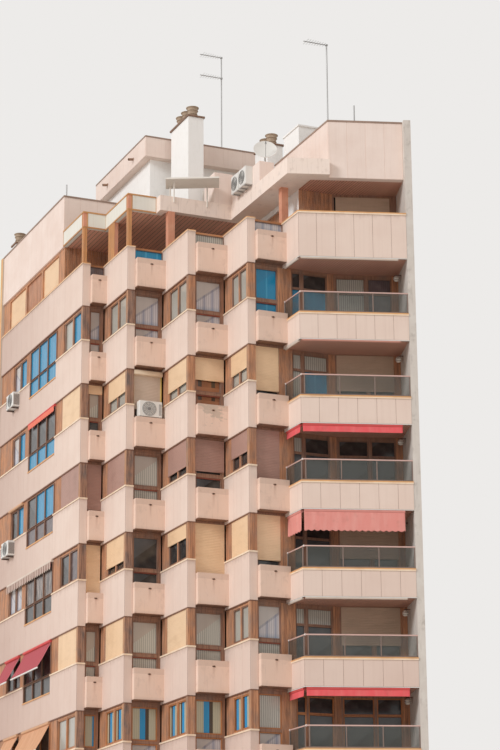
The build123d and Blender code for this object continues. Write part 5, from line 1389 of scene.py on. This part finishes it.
@dataclass
class Awnings(Assembly):
    """Canvas awnings: let down, hanging or rolled, with their bars and arms."""

    out: float = 0.5
    fall: float = 1.03
    roll: float = 0.055
    thin_roll: float = 0.038
    scallop: float = 0.2
    front: Pair = (0.06, 3.44)
    side: Pair = (0.16, 1.25)

    def cloth(self, name: str, run: Run, s: Pair, line: Array, finish: Canvas, rest: str = "rolls",
              scalloped: float = 0.0, replaces: tuple[str, ...] = ()) -> None:
        """Make one sheet of canvas: a line of (t, z) points down the cloth, carried along the run.

        Between its ends the cloth sways by a slow sine along s, and a scalloped lower edge rises by
        a share of the absolute sine along s.

        Args:
            name: the piece's name.
            run: stretch of facade.
            s: start and stop along it.
            line: points down the cloth.
            finish: its canvas.
            rest: not used; it names what holds the cloth, the rolls that it hangs from or the bars that stretch it.
            scalloped: depth of the scallops.
            replaces: solids that it stands for.
        """
        rows = np.cumsum(np.append(0, np.linalg.norm(np.diff(line, axis=0), axis=1)))
        dense = np.linspace(0, rows[-1], 15)[:, None]
        t, z = (np.interp(dense, rows, line[:, column]) for column in (0, 1))
        along = np.linspace(*s, max(12, int((s[1] - s[0]) * 24)))[None]
        share = dense / rows[-1]
        sway = 0.006 * np.sin(along * 7.3) * np.sin(np.pi * np.minimum(share, 0.9))
        lift = scalloped * share ** 8 * (1 - np.abs(np.sin(np.pi * along / self.scallop)))
        grid = np.stack(np.broadcast_arrays(along, t + sway, z + lift - 0.008 * np.sin(np.pi * share)), axis=-1)
        surface = Surface(71)
        surface.sheets(run.place(grid)[None], np.stack(np.broadcast_arrays(along - s[0], dense), axis=-1)[None])
        piece = show(name, surface, "canvas", finish, replaces=replaces, smooth=70, thick=0.004)

    def add_frames(self) -> None:
        """Rolls under the bands, front bars and the two hinged arms of each open awning."""
        rolls, bars = Surface(72), Surface(73)
        for level, s, mark in ((6, WIDE_BAY, 0), (5, SMALL_BAY, 2), (4, (WIDE_BAY[0], SMALL_BAY[1]), 1),
                               (3, WIDE_BAY, 0), (2, WIDE_BAY, 2), (3, SMALL_BAY, 0), (2, SMALL_BAY, 2)):
            ends = (LEFT.spot(end, 0.0, HEADS[level] - self.roll) for end in s)
            rolls.rods(*ends, self.roll, 14, mark)
        for level, radius, *marks in ((7, self.thin_roll, 1, 1), (6, self.thin_roll, 3, 1), (5, self.roll, 0, 0),
                                      (4, self.roll, 4, 4), (3, self.thin_roll, 1, 1), (2, self.roll, 0, 0)):
            for run, s, mark in zip((WING, SIDES[-1]), (self.front, self.side), marks):
                ends = (run.spot(end, radius + 0.002, HEADS[level] - radius - 0.002) for end in s)
                rolls.rods(*ends, radius, 14, mark)
        for level in (3, 2):
            top = HEADS[level]
            low = top - self.fall - 0.02
            for s in (WIDE_BAY, SMALL_BAY):
                bars.blocks(LEFT, s, (-self.out - 0.015, -self.out + 0.025), (low - 0.025, low + 0.025), 0.006)
                middle = (s[0] + s[1]) / 2
                for end in (s[0] + 0.12, s[1] - 0.12):
                    elbow = LEFT.spot(middle + (end - middle) * 0.45, -0.22, top - 0.62)
                    bars.rods(LEFT.spot(end, 0.03, top - 0.16), elbow, 0.014)
                    bars.rods(elbow, LEFT.spot(end, -self.out, low), 0.012)
                    bars.turned(elbow - (0, 0, 0.02), UP, [(0.022, 0.0), (0.022, 0.04)], 10)
        show("awning_rolls", rolls, "canvas", *ROLLED, smooth=40)
        show("awning_bars", bars, "white_metal", WHITE_METAL, smooth=40)

    def add_left(self) -> None:
        """Awnings of the left wing: let down on two storeys, a short coral valance and a striped one."""
        slope = np.array([(0.05, -0.03), (-0.1, -0.32), (-0.3, -0.7), (-self.out, -self.fall)])
        for level, finish in ((3, RED_IN_PAINTED_SHADE), (2, PEACH)):
            for side, (start, stop) in enumerate((WIDE_BAY, SMALL_BAY)):
                gone = ("awnings",) if (level, side) == (3, 0) else ()
                self.cloth(f"awning_{level}_{side}", LEFT, (start + 0.02, stop - 0.02), slope + (0, HEADS[level]),
                           finish, "bars", replaces=gone)
        drop = np.array([(-0.03, -0.05), (-0.05, -0.1), (-0.045, -0.3)])
        self.cloth("awning_6", LEFT, (WIDE_BAY[0] + 0.03, WIDE_BAY[1] - 0.03), drop + (0, HEADS[6]), CORAL,
                   scalloped=0.05)
        self.cloth("awning_4", LEFT, (WIDE_BAY[0] + 0.02, SMALL_BAY[1] - 0.02), drop * (1, 1.25) + (0, HEADS[4]),
                   STRIPED, scalloped=0.1)

    def add_right(self) -> None:
        """Awnings of the balconies, front and side: red valances on two storeys, long faded ones on another."""
        for level, drop, finish, scalloped in ((5, 0.33, RED, 0.0), (4, 0.78, PINK, 0.05), (2, 0.33, RED, 0.0)):
            line = np.array([(0.05, -0.06), (0.03, -0.12), (0.022, -drop + 0.02)]) + (0, HEADS[level])
            for name, run, s in (("front", WING, self.front), ("side", SIDES[-1], self.side)):
                self.cloth(f"balcony_{name}_awning_{level}", run, s, line, finish, scalloped=scalloped)


@dataclass
class Terrace(Assembly):
    """Fascias, rails and joinery of the terrace storey.

    The front fascia stops and the side beam starts at a distance along x from the first corner; pier and wall
    are the widths of the boarded pier and of the boarded wall behind the first post.
    """

    post: float = 0.14
    panel: float = 2.4
    batten: float = 0.04
    margin: float = 0.05
    stop: float = 1.95
    pier: float = 0.65
    pier_back: float = 0.95
    wall: float = 1.78
    side_beam: float = 5.72

    def add_fascias(self) -> None:
        """Cream panels between battens on the fascias, with a timber cap and foot."""
        surface, (first, second) = Surface(81), CORNERS[:2]
        top = EAVES + BLOCK.fascia + BLOCK.cap
        z = (EAVES + self.margin, top - self.margin)
        beyond, gap, half = self.stop - BLOCK.fronts[0], 0.012, self.batten / 2
        for run in (Run(*first, *SIDE, SETBACK), Run(*first, *FRONT, BLOCK.fronts[0]),
                    Run(*second, *SIDE, BLOCK.sides[0] + self.post), Run(*second, *FRONT, beyond)):
            count = max(1, round((run.length - self.post) / self.panel))
            places = np.linspace(self.post, run.length, count + 1)
            surface.blocks(run, (places[:-1] + gap, places[1:] - gap), (-gap, 0.002), z, 0.005)
            surface.blocks(run, (places - half, places + half), (-half, 0.002), z, 0.005, 1)
        for path in ([(first[0], first[1] + SETBACK), first, (second[0], first[1])],
                     [(second[0], first[1] + self.post), second, (second[0] + beyond, second[1])]):
            surface.mitred(path, outline(-0.03, 0.16, -self.margin, 0.002), top, 1)
            surface.mitred(path, outline(-0.022, 0.004, -0.004, self.margin), EAVES, 1)
        show("fascia_panels", surface, "fascia_panel", FASCIA, EDGE_TIMBER)

    def add_rails(self) -> None:
        """Timber handrails behind the planters, rounded on top."""
        surface, angle, back = Surface(82), np.linspace(0, np.pi, 7), BLOCK.recess
        arch = np.stack([0 * angle, back + 0.025 - 0.035 * np.cos(angle), 0.03 * np.sin(angle) - 0.03], axis=-1)
        section = np.concatenate([arch, [[0, back + 0.06, -0.09], [0, back - 0.01, -0.09]]])
        for step in STEPS:
            surface.carried(step, section, at(BLOCK.wall, 0, TERRACE), at(step.length, 0, TERRACE))
        show("terrace_handrails", surface, "timber", RAILING, replaces=("terrace_rails",), smooth=40)

    def add_boards(self) -> None:
        """Boards on the terrace posts, on the boarded pier and on the walls behind."""
        surface, second, high = Surface(83), CORNERS[1], EAVES - 0.002
        standing, behind = (TERRACE + 0.004, high), (TERRACE_FLOOR + 0.02, high)
        for corner in CORNERS[:2]:
            for ways in (FRONT, SIDE):
                surface.boards(Run(*corner, *ways), (0.0, self.post), 0.0, standing)
        pier = Run(second[0], second[1] + BLOCK.sides[0] - self.pier_back, *SIDE)
        surface.boards(pier, (0.0, self.pier), 0.0, standing)
        surface.boards(Run(*from_corner(self.post, SETBACK), *FRONT), (0.0, self.wall), 0.0, behind, 1)
        start, line = BLOCK.left_face + self.side_beam, BALCONY_LEFT
        surface.boards(Run(start, line.y, *FRONT), (0.0, line.x + line.length - start), 0.0, behind, 1)
        show("terrace_boards", surface, "timber", EDGE_POSTS, PIERS)


@dataclass
class Roof(Assembly):
    """Attic cladding, lift house, pots, coolers, aerials and the dish.

    The right attic wall starts at the near point, (s, t) on the wing. A stack is its place from the first
    corner, its width, depth and height, and its number of pots. A cooling unit is its width and height.
    """

    left_top: float = ROOF + 1.47
    right_top: float = ROOF + 1.55
    left_deep: float = 7.6
    left_wide: float = 2.9
    right_end: float = -3.9
    right_near: Pair = (1.12, 0.3)
    right_wide: float = BLOCK.balcony_front - 1.12
    lift: Pair = (2.6, 0.5)
    lift_wide: float = 4.8
    lift_deep: float = 5.6
    lift_low: float = ROOF + 2.85
    lift_top: float = ROOF + 2.85 + 0.82
    lift_panel: float = 0.8
    lip: float = 0.04
    pot: float = 0.44
    pot_pitch: float = 0.52
    pole: float = 0.025
    unit_deep: float = 0.3
    small_unit: Pair = (0.62, 0.72)
    large_unit: Pair = (0.86, 0.6)
    stacks: tuple = ((3.55, -1.5, 0.61, 1.75, 3.85, 3), (6.33, -2.5, 0.62, 1.15, 2.78, 2),
                     (0.25, 9.15, 0.48, 0.52, 1.9, 1))

    def face(self, x: float, y: float, wide: float = 0.0, ways: tuple[Pair, Pair] = FRONT) -> Run:
        """Run along a face of a roof piece that stands at a place from the first corner."""
        return Run(*from_corner(x, y), *ways, wide)

    def add_attic_panels(self) -> None:
        """Panels on the attic parapets and on the deep roof of the lift house."""
        bands, surface = Bands(), Surface(91)
        near, (x, y) = WING.plan(*self.right_near), self.lift
        for run, low, high in ((self.face(0.0, SETBACK, self.left_deep, SIDE), EAVES, self.left_top),
                               (self.face(0.0, SETBACK, self.left_wide), ROOF, self.left_top),
                               (Run(*near, WING.along, WING.inward, self.right_wide), EAVES, self.right_top),
                               (Run(*near, *SIDE, self.right_end - near[1]), ROOF, self.right_top)):
            bands.panels(surface, run, bands.edges(run.length), low, high)
        for run in (self.face(x, y, self.lift_wide), self.face(x, y, self.lift_deep, SIDE),
                    self.face(x + self.lift_wide, y, self.lift_deep, FAR_SIDE),
                    self.face(x, y + self.lift_deep, self.lift_wide, REAR)):
            bands.panels(surface, run, bands.edges(run.length, self.lift_panel), self.lift_low, self.lift_top)
        show("attic_panels", surface, "cladding", ATTIC)

    def add_copings(self) -> None:
        """Grey-brown copings on the attic parapets and a trim round the lift house roof."""
        surface = Surface(92)
        coping = np.array([(-0.03, -0.03), (-0.03, 0.03), (0.02, 0.055), (0.23, 0.055), (0.28, 0.03), (0.28, -0.03),
                           (0.25, -0.03), (0.25, 0.0), (0.0, 0.0), (0.0, -0.03)])
        trim = np.array([(-0.02, -0.04), (-0.02, 0.02), (0.16, 0.02), (0.16, 0.0), (0.0, 0.0), (0.0, -0.04)])
        x, y = from_corner(0.0, SETBACK)
        surface.mitred([(x, y + self.left_deep), (x, y), (x + self.left_wide, y)], coping, self.left_top)
        s, t = self.right_near
        near = WING.plan(s, t)
        surface.mitred([(near[0], self.right_end), near, WING.plan(s + self.right_wide, t)], coping, self.right_top)
        x, y = from_corner(*self.lift)
        right, back = x + self.lift_wide, y + self.lift_deep
        box = [(x, y), (right, y), (right, back), (x, back), (x, y)]
        for corner in range(4):
            surface.mitred(box[corner:corner + 2], trim, self.lift_top)
        show("attic_copings_dressed", surface, "dark_coping", DARK_CAP, replaces=("attic_copings",))

    def add_spouts(self) -> None:
        """Two short spouts on the left face of the lift house roof."""
        surface = Surface(93)
        spout = [(0.03, -0.05), (0.05, -0.05), (0.05, 0.0), (0.07, 0.002), (0.07, 0.01), (0.05, 0.012), (0.05, 0.22),
                 (0.04, 0.22), (0.04, 0.1), (0.03, 0.1)]
        places = self.face(*self.lift, ways=SIDE).spot(np.array([1.3, 4.2]), 0.0, self.lift_low + 0.34)
        surface.turned(places, (-1.0, 0.0, -0.15), spout, 14, closed=True)
        show("roof_spouts", surface, "dark_metal", SPOUT, smooth=40)

    def add_pots(self) -> None:
        """Copings on the stacks and flared pots: radius grows with height, with two ring ribs and a rolled lip."""
        surface, copings = Surface(94), Surface(99)
        height = np.linspace(0.0, self.pot, 40)
        radius = 0.15 + 0.065 * (height / self.pot) ** 1.3
        for rib in (0.147, 0.293):
            radius = radius + 0.028 * np.exp(-((height - rib - 0.015) / 0.014) ** 2)
        radius = radius + 0.03 * np.clip((height - 0.4) / 0.02, 0, 1)
        inner = np.stack([np.linspace(0.185, 0.12, 12), np.linspace(self.pot, 0.02, 12)], axis=-1)
        profile = np.concatenate([np.stack([radius, height], axis=-1), inner])
        for x, y, wide, deep, high, pots in self.stacks:
            top, over = ROOF + high, 2 * self.lip + 0.006
            rows = y + deep / 2 + (np.arange(pots) - (pots - 1) / 2) * self.pot_pitch
            places = [(*from_corner(x + wide / 2, row), top + 0.06) for row in rows]
            surface.turned(np.array(places), UP, profile, 28)
            copings.blocks(self.face(x - self.lip, y - self.lip), (-0.006, wide + over), (-0.006, deep + over),
                           (top - 0.004, top + 0.064), 0.01)
        show("clay_pots", surface, "clay", POTS, replaces=("chimney_pots",), smooth=50)
        show("stack_copings", copings, "dark_coping", STACK_CAP)

    def grille(self, metal: Surface, run: Run, hub: Array) -> None:
        """Add a fan grille on the front of a run: rings and bars round a hub."""
        out = np.array([-run.inward[0], -run.inward[1], 0.0])
        for radius in (0.06, 0.11, 0.16, 0.21, 0.25):
            ring = [(radius - 0.007, 0.0), (radius + 0.007, 0.0), (radius + 0.007, 0.012), (radius - 0.007, 0.012)]
            metal.turned(hub, out, ring, 28, closed=True)
        angle = circle(12)[:, None]
        way = np.cos(angle) * np.array([*run.along, 0.0]) + np.sin(angle) * np.array(UP)
        metal.rods(hub + out * 0.006 + way * 0.03, hub + out * 0.006 + way * 0.25, 0.003, 6)
        metal.turned(hub, out, [(0.01, 0.0), (0.045, 0.0), (0.045, 0.012), (0.01, 0.016)], 16)

    def add_coolers(self) -> None:
        """Cooling units: a pressed casing, a round fan grille of rings and bars, vents and feet."""
        casing, metal, step, deep = Surface(95), Surface(96), STEPS[1], self.unit_deep
        wing, planter = Run(LEFT.x - deep, LEFT.y, *SIDE), Run(step.x, step.y - Planters.out, *FRONT)
        places = [(self.face(4.72 - deep, y, ways=SIDE), 0.0, ROOF + 0.06, *self.small_unit) for y in (-4.78, -4.1)]
        places += [(wing, s, SILLS[level] - 0.65, *self.large_unit) for level, s in ((7, 7.35), (5, 7.55))]
        places.append((planter, step.length - 0.12 - self.large_unit[0], SILLS[6] - Planters.rim_drop,
                       *self.large_unit))
        for run, s, z, long, high in places:
            casing.blocks(run, (s, s + long), (0.012, deep), (z + 0.03, z + high), 0.012)
            for foot in (0.1, long - 0.16):
                metal.blocks(run, (s + foot, s + foot + 0.06), (0.03, 0.28), (z, z + 0.03), 0.004, 1)
            if run == wing:
                end, slats = Run(*run.plan(s, 0.0), run.inward, run.along), 0.05 + 0.04 * np.arange(6)[:, None]
                metal.blocks(end, (slats, slats + 0.022), (-0.006, 0.004), (z + 0.08, z + high - 0.08), 0.003, 2)
                for foot in (0.12, long - 0.16):
                    metal.blocks(run, (s + foot, s + foot + 0.04), (0.0, deep), (z - 0.04, z), 0.004, 2)
            self.grille(metal, run, run.spot(s + min(long, high + 0.1) / 2 + 0.02, 0.012, z + high / 2 + 0.015))
            if run in (wing, planter):
                vents = z + 0.1 + 0.03 * np.arange(int((high - 0.16) / 0.03))
                metal.blocks(run, (s + long - 0.13, s + long - 0.03), (0.004, 0.02), (vents, vents + 0.012), 0.003)
        show("cooler_casings", casing, "white_metal", WHITE_METAL, replaces=("coolers",), bevel=0.008)
        show("cooler_grilles", metal, "grey_metal", GREY_METAL, STEEL, DARK_METAL, smooth=40)

    def add_aerials(self) -> None:
        """Masts with crossed elements, clamps and feet, and two short poles."""
        surface, corner = Surface(97), WING.plan(*self.right_near)
        foot = [(0.03, 0.0), (0.09, 0.0), (0.09, 0.01), (0.04, 0.02), (0.035, 0.09), (0.03, 0.09)]
        top, mount, arm = self.right_top + BLOCK.cap, self.lift_low + 0.25, 0.9
        for x, y, low, high, heads in ((*from_corner(5.9, 0.9), mount, mount + 4.57, (0.024, 0.9)),
                                       (corner[0] + 0.125, corner[1] + 0.25, top, top + 3.0, (0.024,))):
            surface.rods((x, y, low), (x, y, high), self.pole, 12)
            surface.turned((x, y, low), UP, foot, 14, closed=True)
            for z in (high - head for head in heads):
                surface.blocks(Run(x - arm, y - 0.012, *FRONT), (0.0, arm), (0.0, 0.024), (z - 0.012, z + 0.012))
                places, half = x - arm * np.arange(1, 9) / 9, np.linspace(0.15, 0.24, 8)
                surface.rods(at(places, y - half, z), at(places, y + half, z), 0.006, 6)
                surface.blocks(Run(x - 0.04, y - 0.035, *FRONT), (0.0, 0.08), (0.0, 0.07), (z - 0.03, z + 0.03), 0.006)
        for (x, y), low, high in ((WING.plan(2.08, 0.425), top, top + 0.62),
                                  (from_corner(0.125, SETBACK + 0.125), self.left_top + 0.05, self.left_top + 0.53)):
            surface.rods((x, y, low), (x, y, high), self.pole, 12)
        show("aerial_masts", surface, "grey_metal", STEEL, replaces=("aerials",), smooth=40)

    def add_dish(self) -> None:
        """Dish whose height grows with the square of its radius, on a pole, with a feed arm and head."""
        surface, turn, lift = Surface(98), math.radians(20.0), math.radians(25.0)
        axis = np.array([-math.sin(turn), -math.cos(turn), math.tan(lift)])
        axis /= np.linalg.norm(axis)
        foot = np.array([*from_corner(5.05, -5.15), ROOF + 0.77])
        head = foot + (0, 0, 0.48)
        centre = head + axis * 0.05
        radius = np.linspace(0.02, 0.42, 14)
        front = np.stack([radius, 0.012 + 0.08 * (radius / 0.42) ** 2], axis=-1)
        bowl = np.concatenate([front, [(0.428, 0.088), (0.428, 0.076)], front[::-1] - (0, 0.012)])
        surface.turned(centre, axis, bowl, 40)
        surface.rods(foot, foot + (0, 0, 0.5), self.pole, 12, 1)
        surface.rods(head, centre, 0.03, 12, 1)
        down = np.cross(axis, np.cross(axis, UP))
        down /= np.linalg.norm(down)
        down = down if down[2] < 0 else -down
        feed = centre + axis * 0.4
        surface.rods(centre + down * 0.4 + axis * 0.07, feed + down * 0.03, 0.01, 8, 1)
        horn = [(0.012, 0.0), (0.034, 0.0), (0.034, 0.03), (0.022, 0.04), (0.022, 0.1), (0.012, 0.1)]
        surface.turned(feed - axis * 0.05, axis, horn, 16, 1)
        show("dish", surface, "grey_metal", WHITE_METAL, STEEL, replaces=("roof_dish",), smooth=40)


@dataclass
class Street(Assembly):
    """Shop fronts, the entrance and the windows of the back wall, with the piers between them."""

    sill: float = 0.45
    head: float = 2.9
    transom: Pair = (2.25, 2.3)
    bar: float = 0.06
    pier: float = 0.42
    rear_pier: float = 0.5
    rear_windows: int = 3

    def add_shops(self) -> None:
        """Frames and transoms of the shop windows."""
        surface, bar, t = Surface(101), self.bar, (0.03, 0.058)
        spans = [(LEFT, start + self.pier, stop) for start, stop in LEFT_BAYS]
        for run, start, stop in spans + [(side, self.pier, side.length - self.pier) for side in SIDES[:-1]]:
            surface.framed(run, (start, stop), t, (self.sill, self.head), (bar, 0.08), 0.006)
            surface.blocks(run, (start + bar, stop - bar), t, self.transom, 0.006)
        show("shop_frames", surface, "dark_metal", TRACK)

    def add_doors(self) -> None:
        """Raised panels and pull handles on the entrance leaves."""
        surface, middle, ends = Surface(102), BLOCK.balcony_front / 2, np.array([1.05, 1.45])
        for side in (-1, 1):
            centre, grip = middle + side * 0.4, middle + side * 0.07
            for z in ((0.3, 0.95), (1.05, 2.1), (2.2, 2.75)):
                surface.blocks(WING, (centre - 0.28, centre + 0.28), (0.045, 0.062), z, 0.012)
            surface.rods(WING.spot(grip, 0.0, 1.0), WING.spot(grip, 0.0, 1.5), 0.012, 10, 1)
            surface.rods(WING.spot(grip, 0.0, ends), WING.spot(grip, 0.062, ends), 0.008, 8, 1)
        show("door_panels", surface, "timber", JOINERY, STEEL, smooth=40)

    def add_rear(self) -> None:
        """Sills and sashes of the back wall's windows, three on each storey."""
        surface = Surface(103)
        x, y = WING.plan(BLOCK.balcony_front + BLOCK.wall, 0.0)
        start = y + WING.inward[1] * (BLOCK.rear_face - x) / WING.inward[0]
        run = Run(BLOCK.rear_face, start, *FAR_SIDE, BLOCK.corner_y + BLOCK.left_wing - start)
        wide = (run.length - self.rear_pier * (self.rear_windows + 1)) / self.rear_windows
        starts = self.rear_pier + (wide + self.rear_pier) * np.arange(self.rear_windows)[:, None]
        low, high = np.append(SILLS, self.sill), np.append(HEADS, self.head)
        surface.blocks(run, (starts - 0.05, starts + wide + 0.05), (-0.04, 0.05), (low - 0.05, low - 0.002), 0.01, 1)
        for shift in (0.06, wide / 2 + 0.03):
            left = starts + shift
            surface.framed(run, (left, left + wide / 2 - 0.09), (0.072, 0.12), (low + 0.06, high - 0.1), (0.04, 0.04),
                           0.005)
        show("rear_sashes", surface, "timber", JOINERY, BARE)


# Solids and studio

# Finish of every solid; those that a piece of the scene replaces have one too
NODE_FINISHES = {
    BACKING: ("left_wing_bands", "tooth_bands", "balcony_side_parapets", "balcony_front_parapets"),
    ATTIC: ("attic_parapets", "lift_house_roof", "service_boxes"),
    PLANTER: ("planters",),
    BEAM: ("cross_beam", "side_beam"),
    FASCIA: ("eaves_fascias",),
    CAP: ("band_caps", "balcony_front_caps"),
    DARK_CAP: ("attic_copings",),
    WHITE: ("attic_walls", "lift_house_walls", "chimney_stacks"),
    OCHRE: ("left_party_wall",),
    RENDER: ("right_party_wall", "rear_wall"),
    BARE: ("floor_slabs", "ground_floor_slab"),
    GRAVEL: ("roof_slab",),
    GROUND: ("ground_walls", "ground_step_walls", "ground_front_wall"),
    PIERS: ("left_wing_frames", "side_frames", "attic_doors", "corner_posts"),
    JOINERY: ("planter_frames", "balcony_left_windows", "balcony_back_windows", "rear_frames", "entrance_doors"),
    COLUMN: ("terrace_posts",),
    BALCONY_CEILING: ("balcony_ceilings",),
    TERRACE_CEILING: ("terrace_ceiling",),
    RAILING: ("terrace_rails",),
    RAIL: ("balcony_rails",),
    STEEL: ("aerials",),
    PANEL_METAL: ("roof_panel",),
    GREY_METAL: ("lift_house_door",),
    WHITE_METAL: ("coolers", "roof_dish"),
    TINTED: ("rail_glass",),
    CLEAR_GLASS: ("window_glass", "shop_windows"),
    GLOBE: ("balcony_lamps",),
    BEIGE: ("beige_shutters",),
    MAUVE: ("mauve_shutters",),
    BROWN: ("attic_shutters",),
    POTS: ("chimney_pots",),
    RED: ("awnings",),
}


def dress_solids() -> None:
    """Give every solid its finish."""
    bare = set(frame["nodes"])
    for finish, names in NODE_FINISHES.items():
        for name in names:
            materials = frame["nodes"][name].data.materials
            materials.clear()
            materials.append(finish.material())
            bare.discard(name)
    if bare:
        LOG.warning("no finish for %s", sorted(bare))


@dataclass
class Studio:
    """Pale floor, soft light from the left front, and the camera at the photograph's angle."""

    eye: tuple[float, float, float] = (-31.32, -73.38, 1.6)
    way: Pair = (0.399, 0.917)
    pitch: float = math.radians(16.55)
    roll: float = math.radians(-0.41)
    lens: float = 106.5

    def camera(self) -> None:
        """Aim the camera: forward is the plan way tipped up by the pitch, then turned by the roll."""
        data = bpy.data.cameras.new("eye")
        data.lens, data.sensor_width, data.clip_end = self.lens, 36.0, 1000.0
        forward = np.array([*(way * math.cos(self.pitch) for way in self.way), math.sin(self.pitch)])
        forward /= np.linalg.norm(forward)
        right = np.cross(forward, UP)
        right /= np.linalg.norm(right)
        up = np.cross(right, forward)
        cosine, sine = math.cos(self.roll), math.sin(self.roll)
        matrix = np.eye(4)
        matrix[:3] = np.stack([right * cosine + up * sine, up * cosine - right * sine, -forward, self.eye], axis=1)
        eye = put("eye", data)
        eye.matrix_world = Matrix(matrix)
        bpy.context.scene.camera = eye

    def light(self) -> None:
        """One soft lamp far to the left front, and an even warm sky that is paler where it is seen."""
        lamp = bpy.data.lights.new("sun", "SUN")
        lamp.energy, lamp.angle, lamp.color = 1.45, math.radians(18.0), (0.97, 1.0, 1.03)
        put("sun", lamp).rotation_euler = (math.radians(65.1), 0.0, math.radians(-73.9))
        world = bpy.context.scene.world = bpy.data.worlds.new("sky")
        world.use_nodes = True
        tree = world.node_tree
        tree.nodes.clear()
        seen = add(tree, "LightPath", out="Is Camera Ray")
        rays = seen.node.outputs
        for ray in ("Is Transmission Ray", "Is Glossy Ray"):
            seen = add(tree, "Math", seen, rays[ray], operation="MAXIMUM")
        plain = add(tree, "Background", {"Color": (1.0, 0.94, 0.89, 1.0), "Strength": 0.62})
        backdrop = add(tree, "Background", {"Color": linear("#EDEBE9"), "Strength": 1.0})
        add(tree, "OutputWorld", add(tree, "MixShader", seen, plain, backdrop))

    def floor(self) -> None:
        """A wide pale disc under the block."""
        surface = Surface(111)
        angle, radius = np.linspace(0, 2 * np.pi, 97), np.array([0.0, 20.0, 60.0, 160.0])[:, None]
        points = np.stack(np.broadcast_arrays(radius * np.cos(angle), radius * np.sin(angle), -0.002), axis=-1)[None]
        surface.sheets(points, points[..., :2])
        data = surface.mesh("floor")
        data.materials.append(STUDIO_FLOOR.material())
        put("floor", data)

    def build(self) -> None:
        """Set up the studio."""
        self.camera()
        self.light()
        self.floor()
        bpy.context.scene.view_settings.view_transform = "Standard"


def main() -> None:
    """Build the studio and then the block's sub-assemblies."""
    Studio().build()
    dress_solids()
    for assembly in (Bands, Planters, Boards, Windows, Shutters, Balconies, Awnings, Terrace, Roof, Street):
        assembly().build()


if __name__ == "__main__":
    logging.basicConfig(level=logging.INFO, format="%(message)s")
    main()
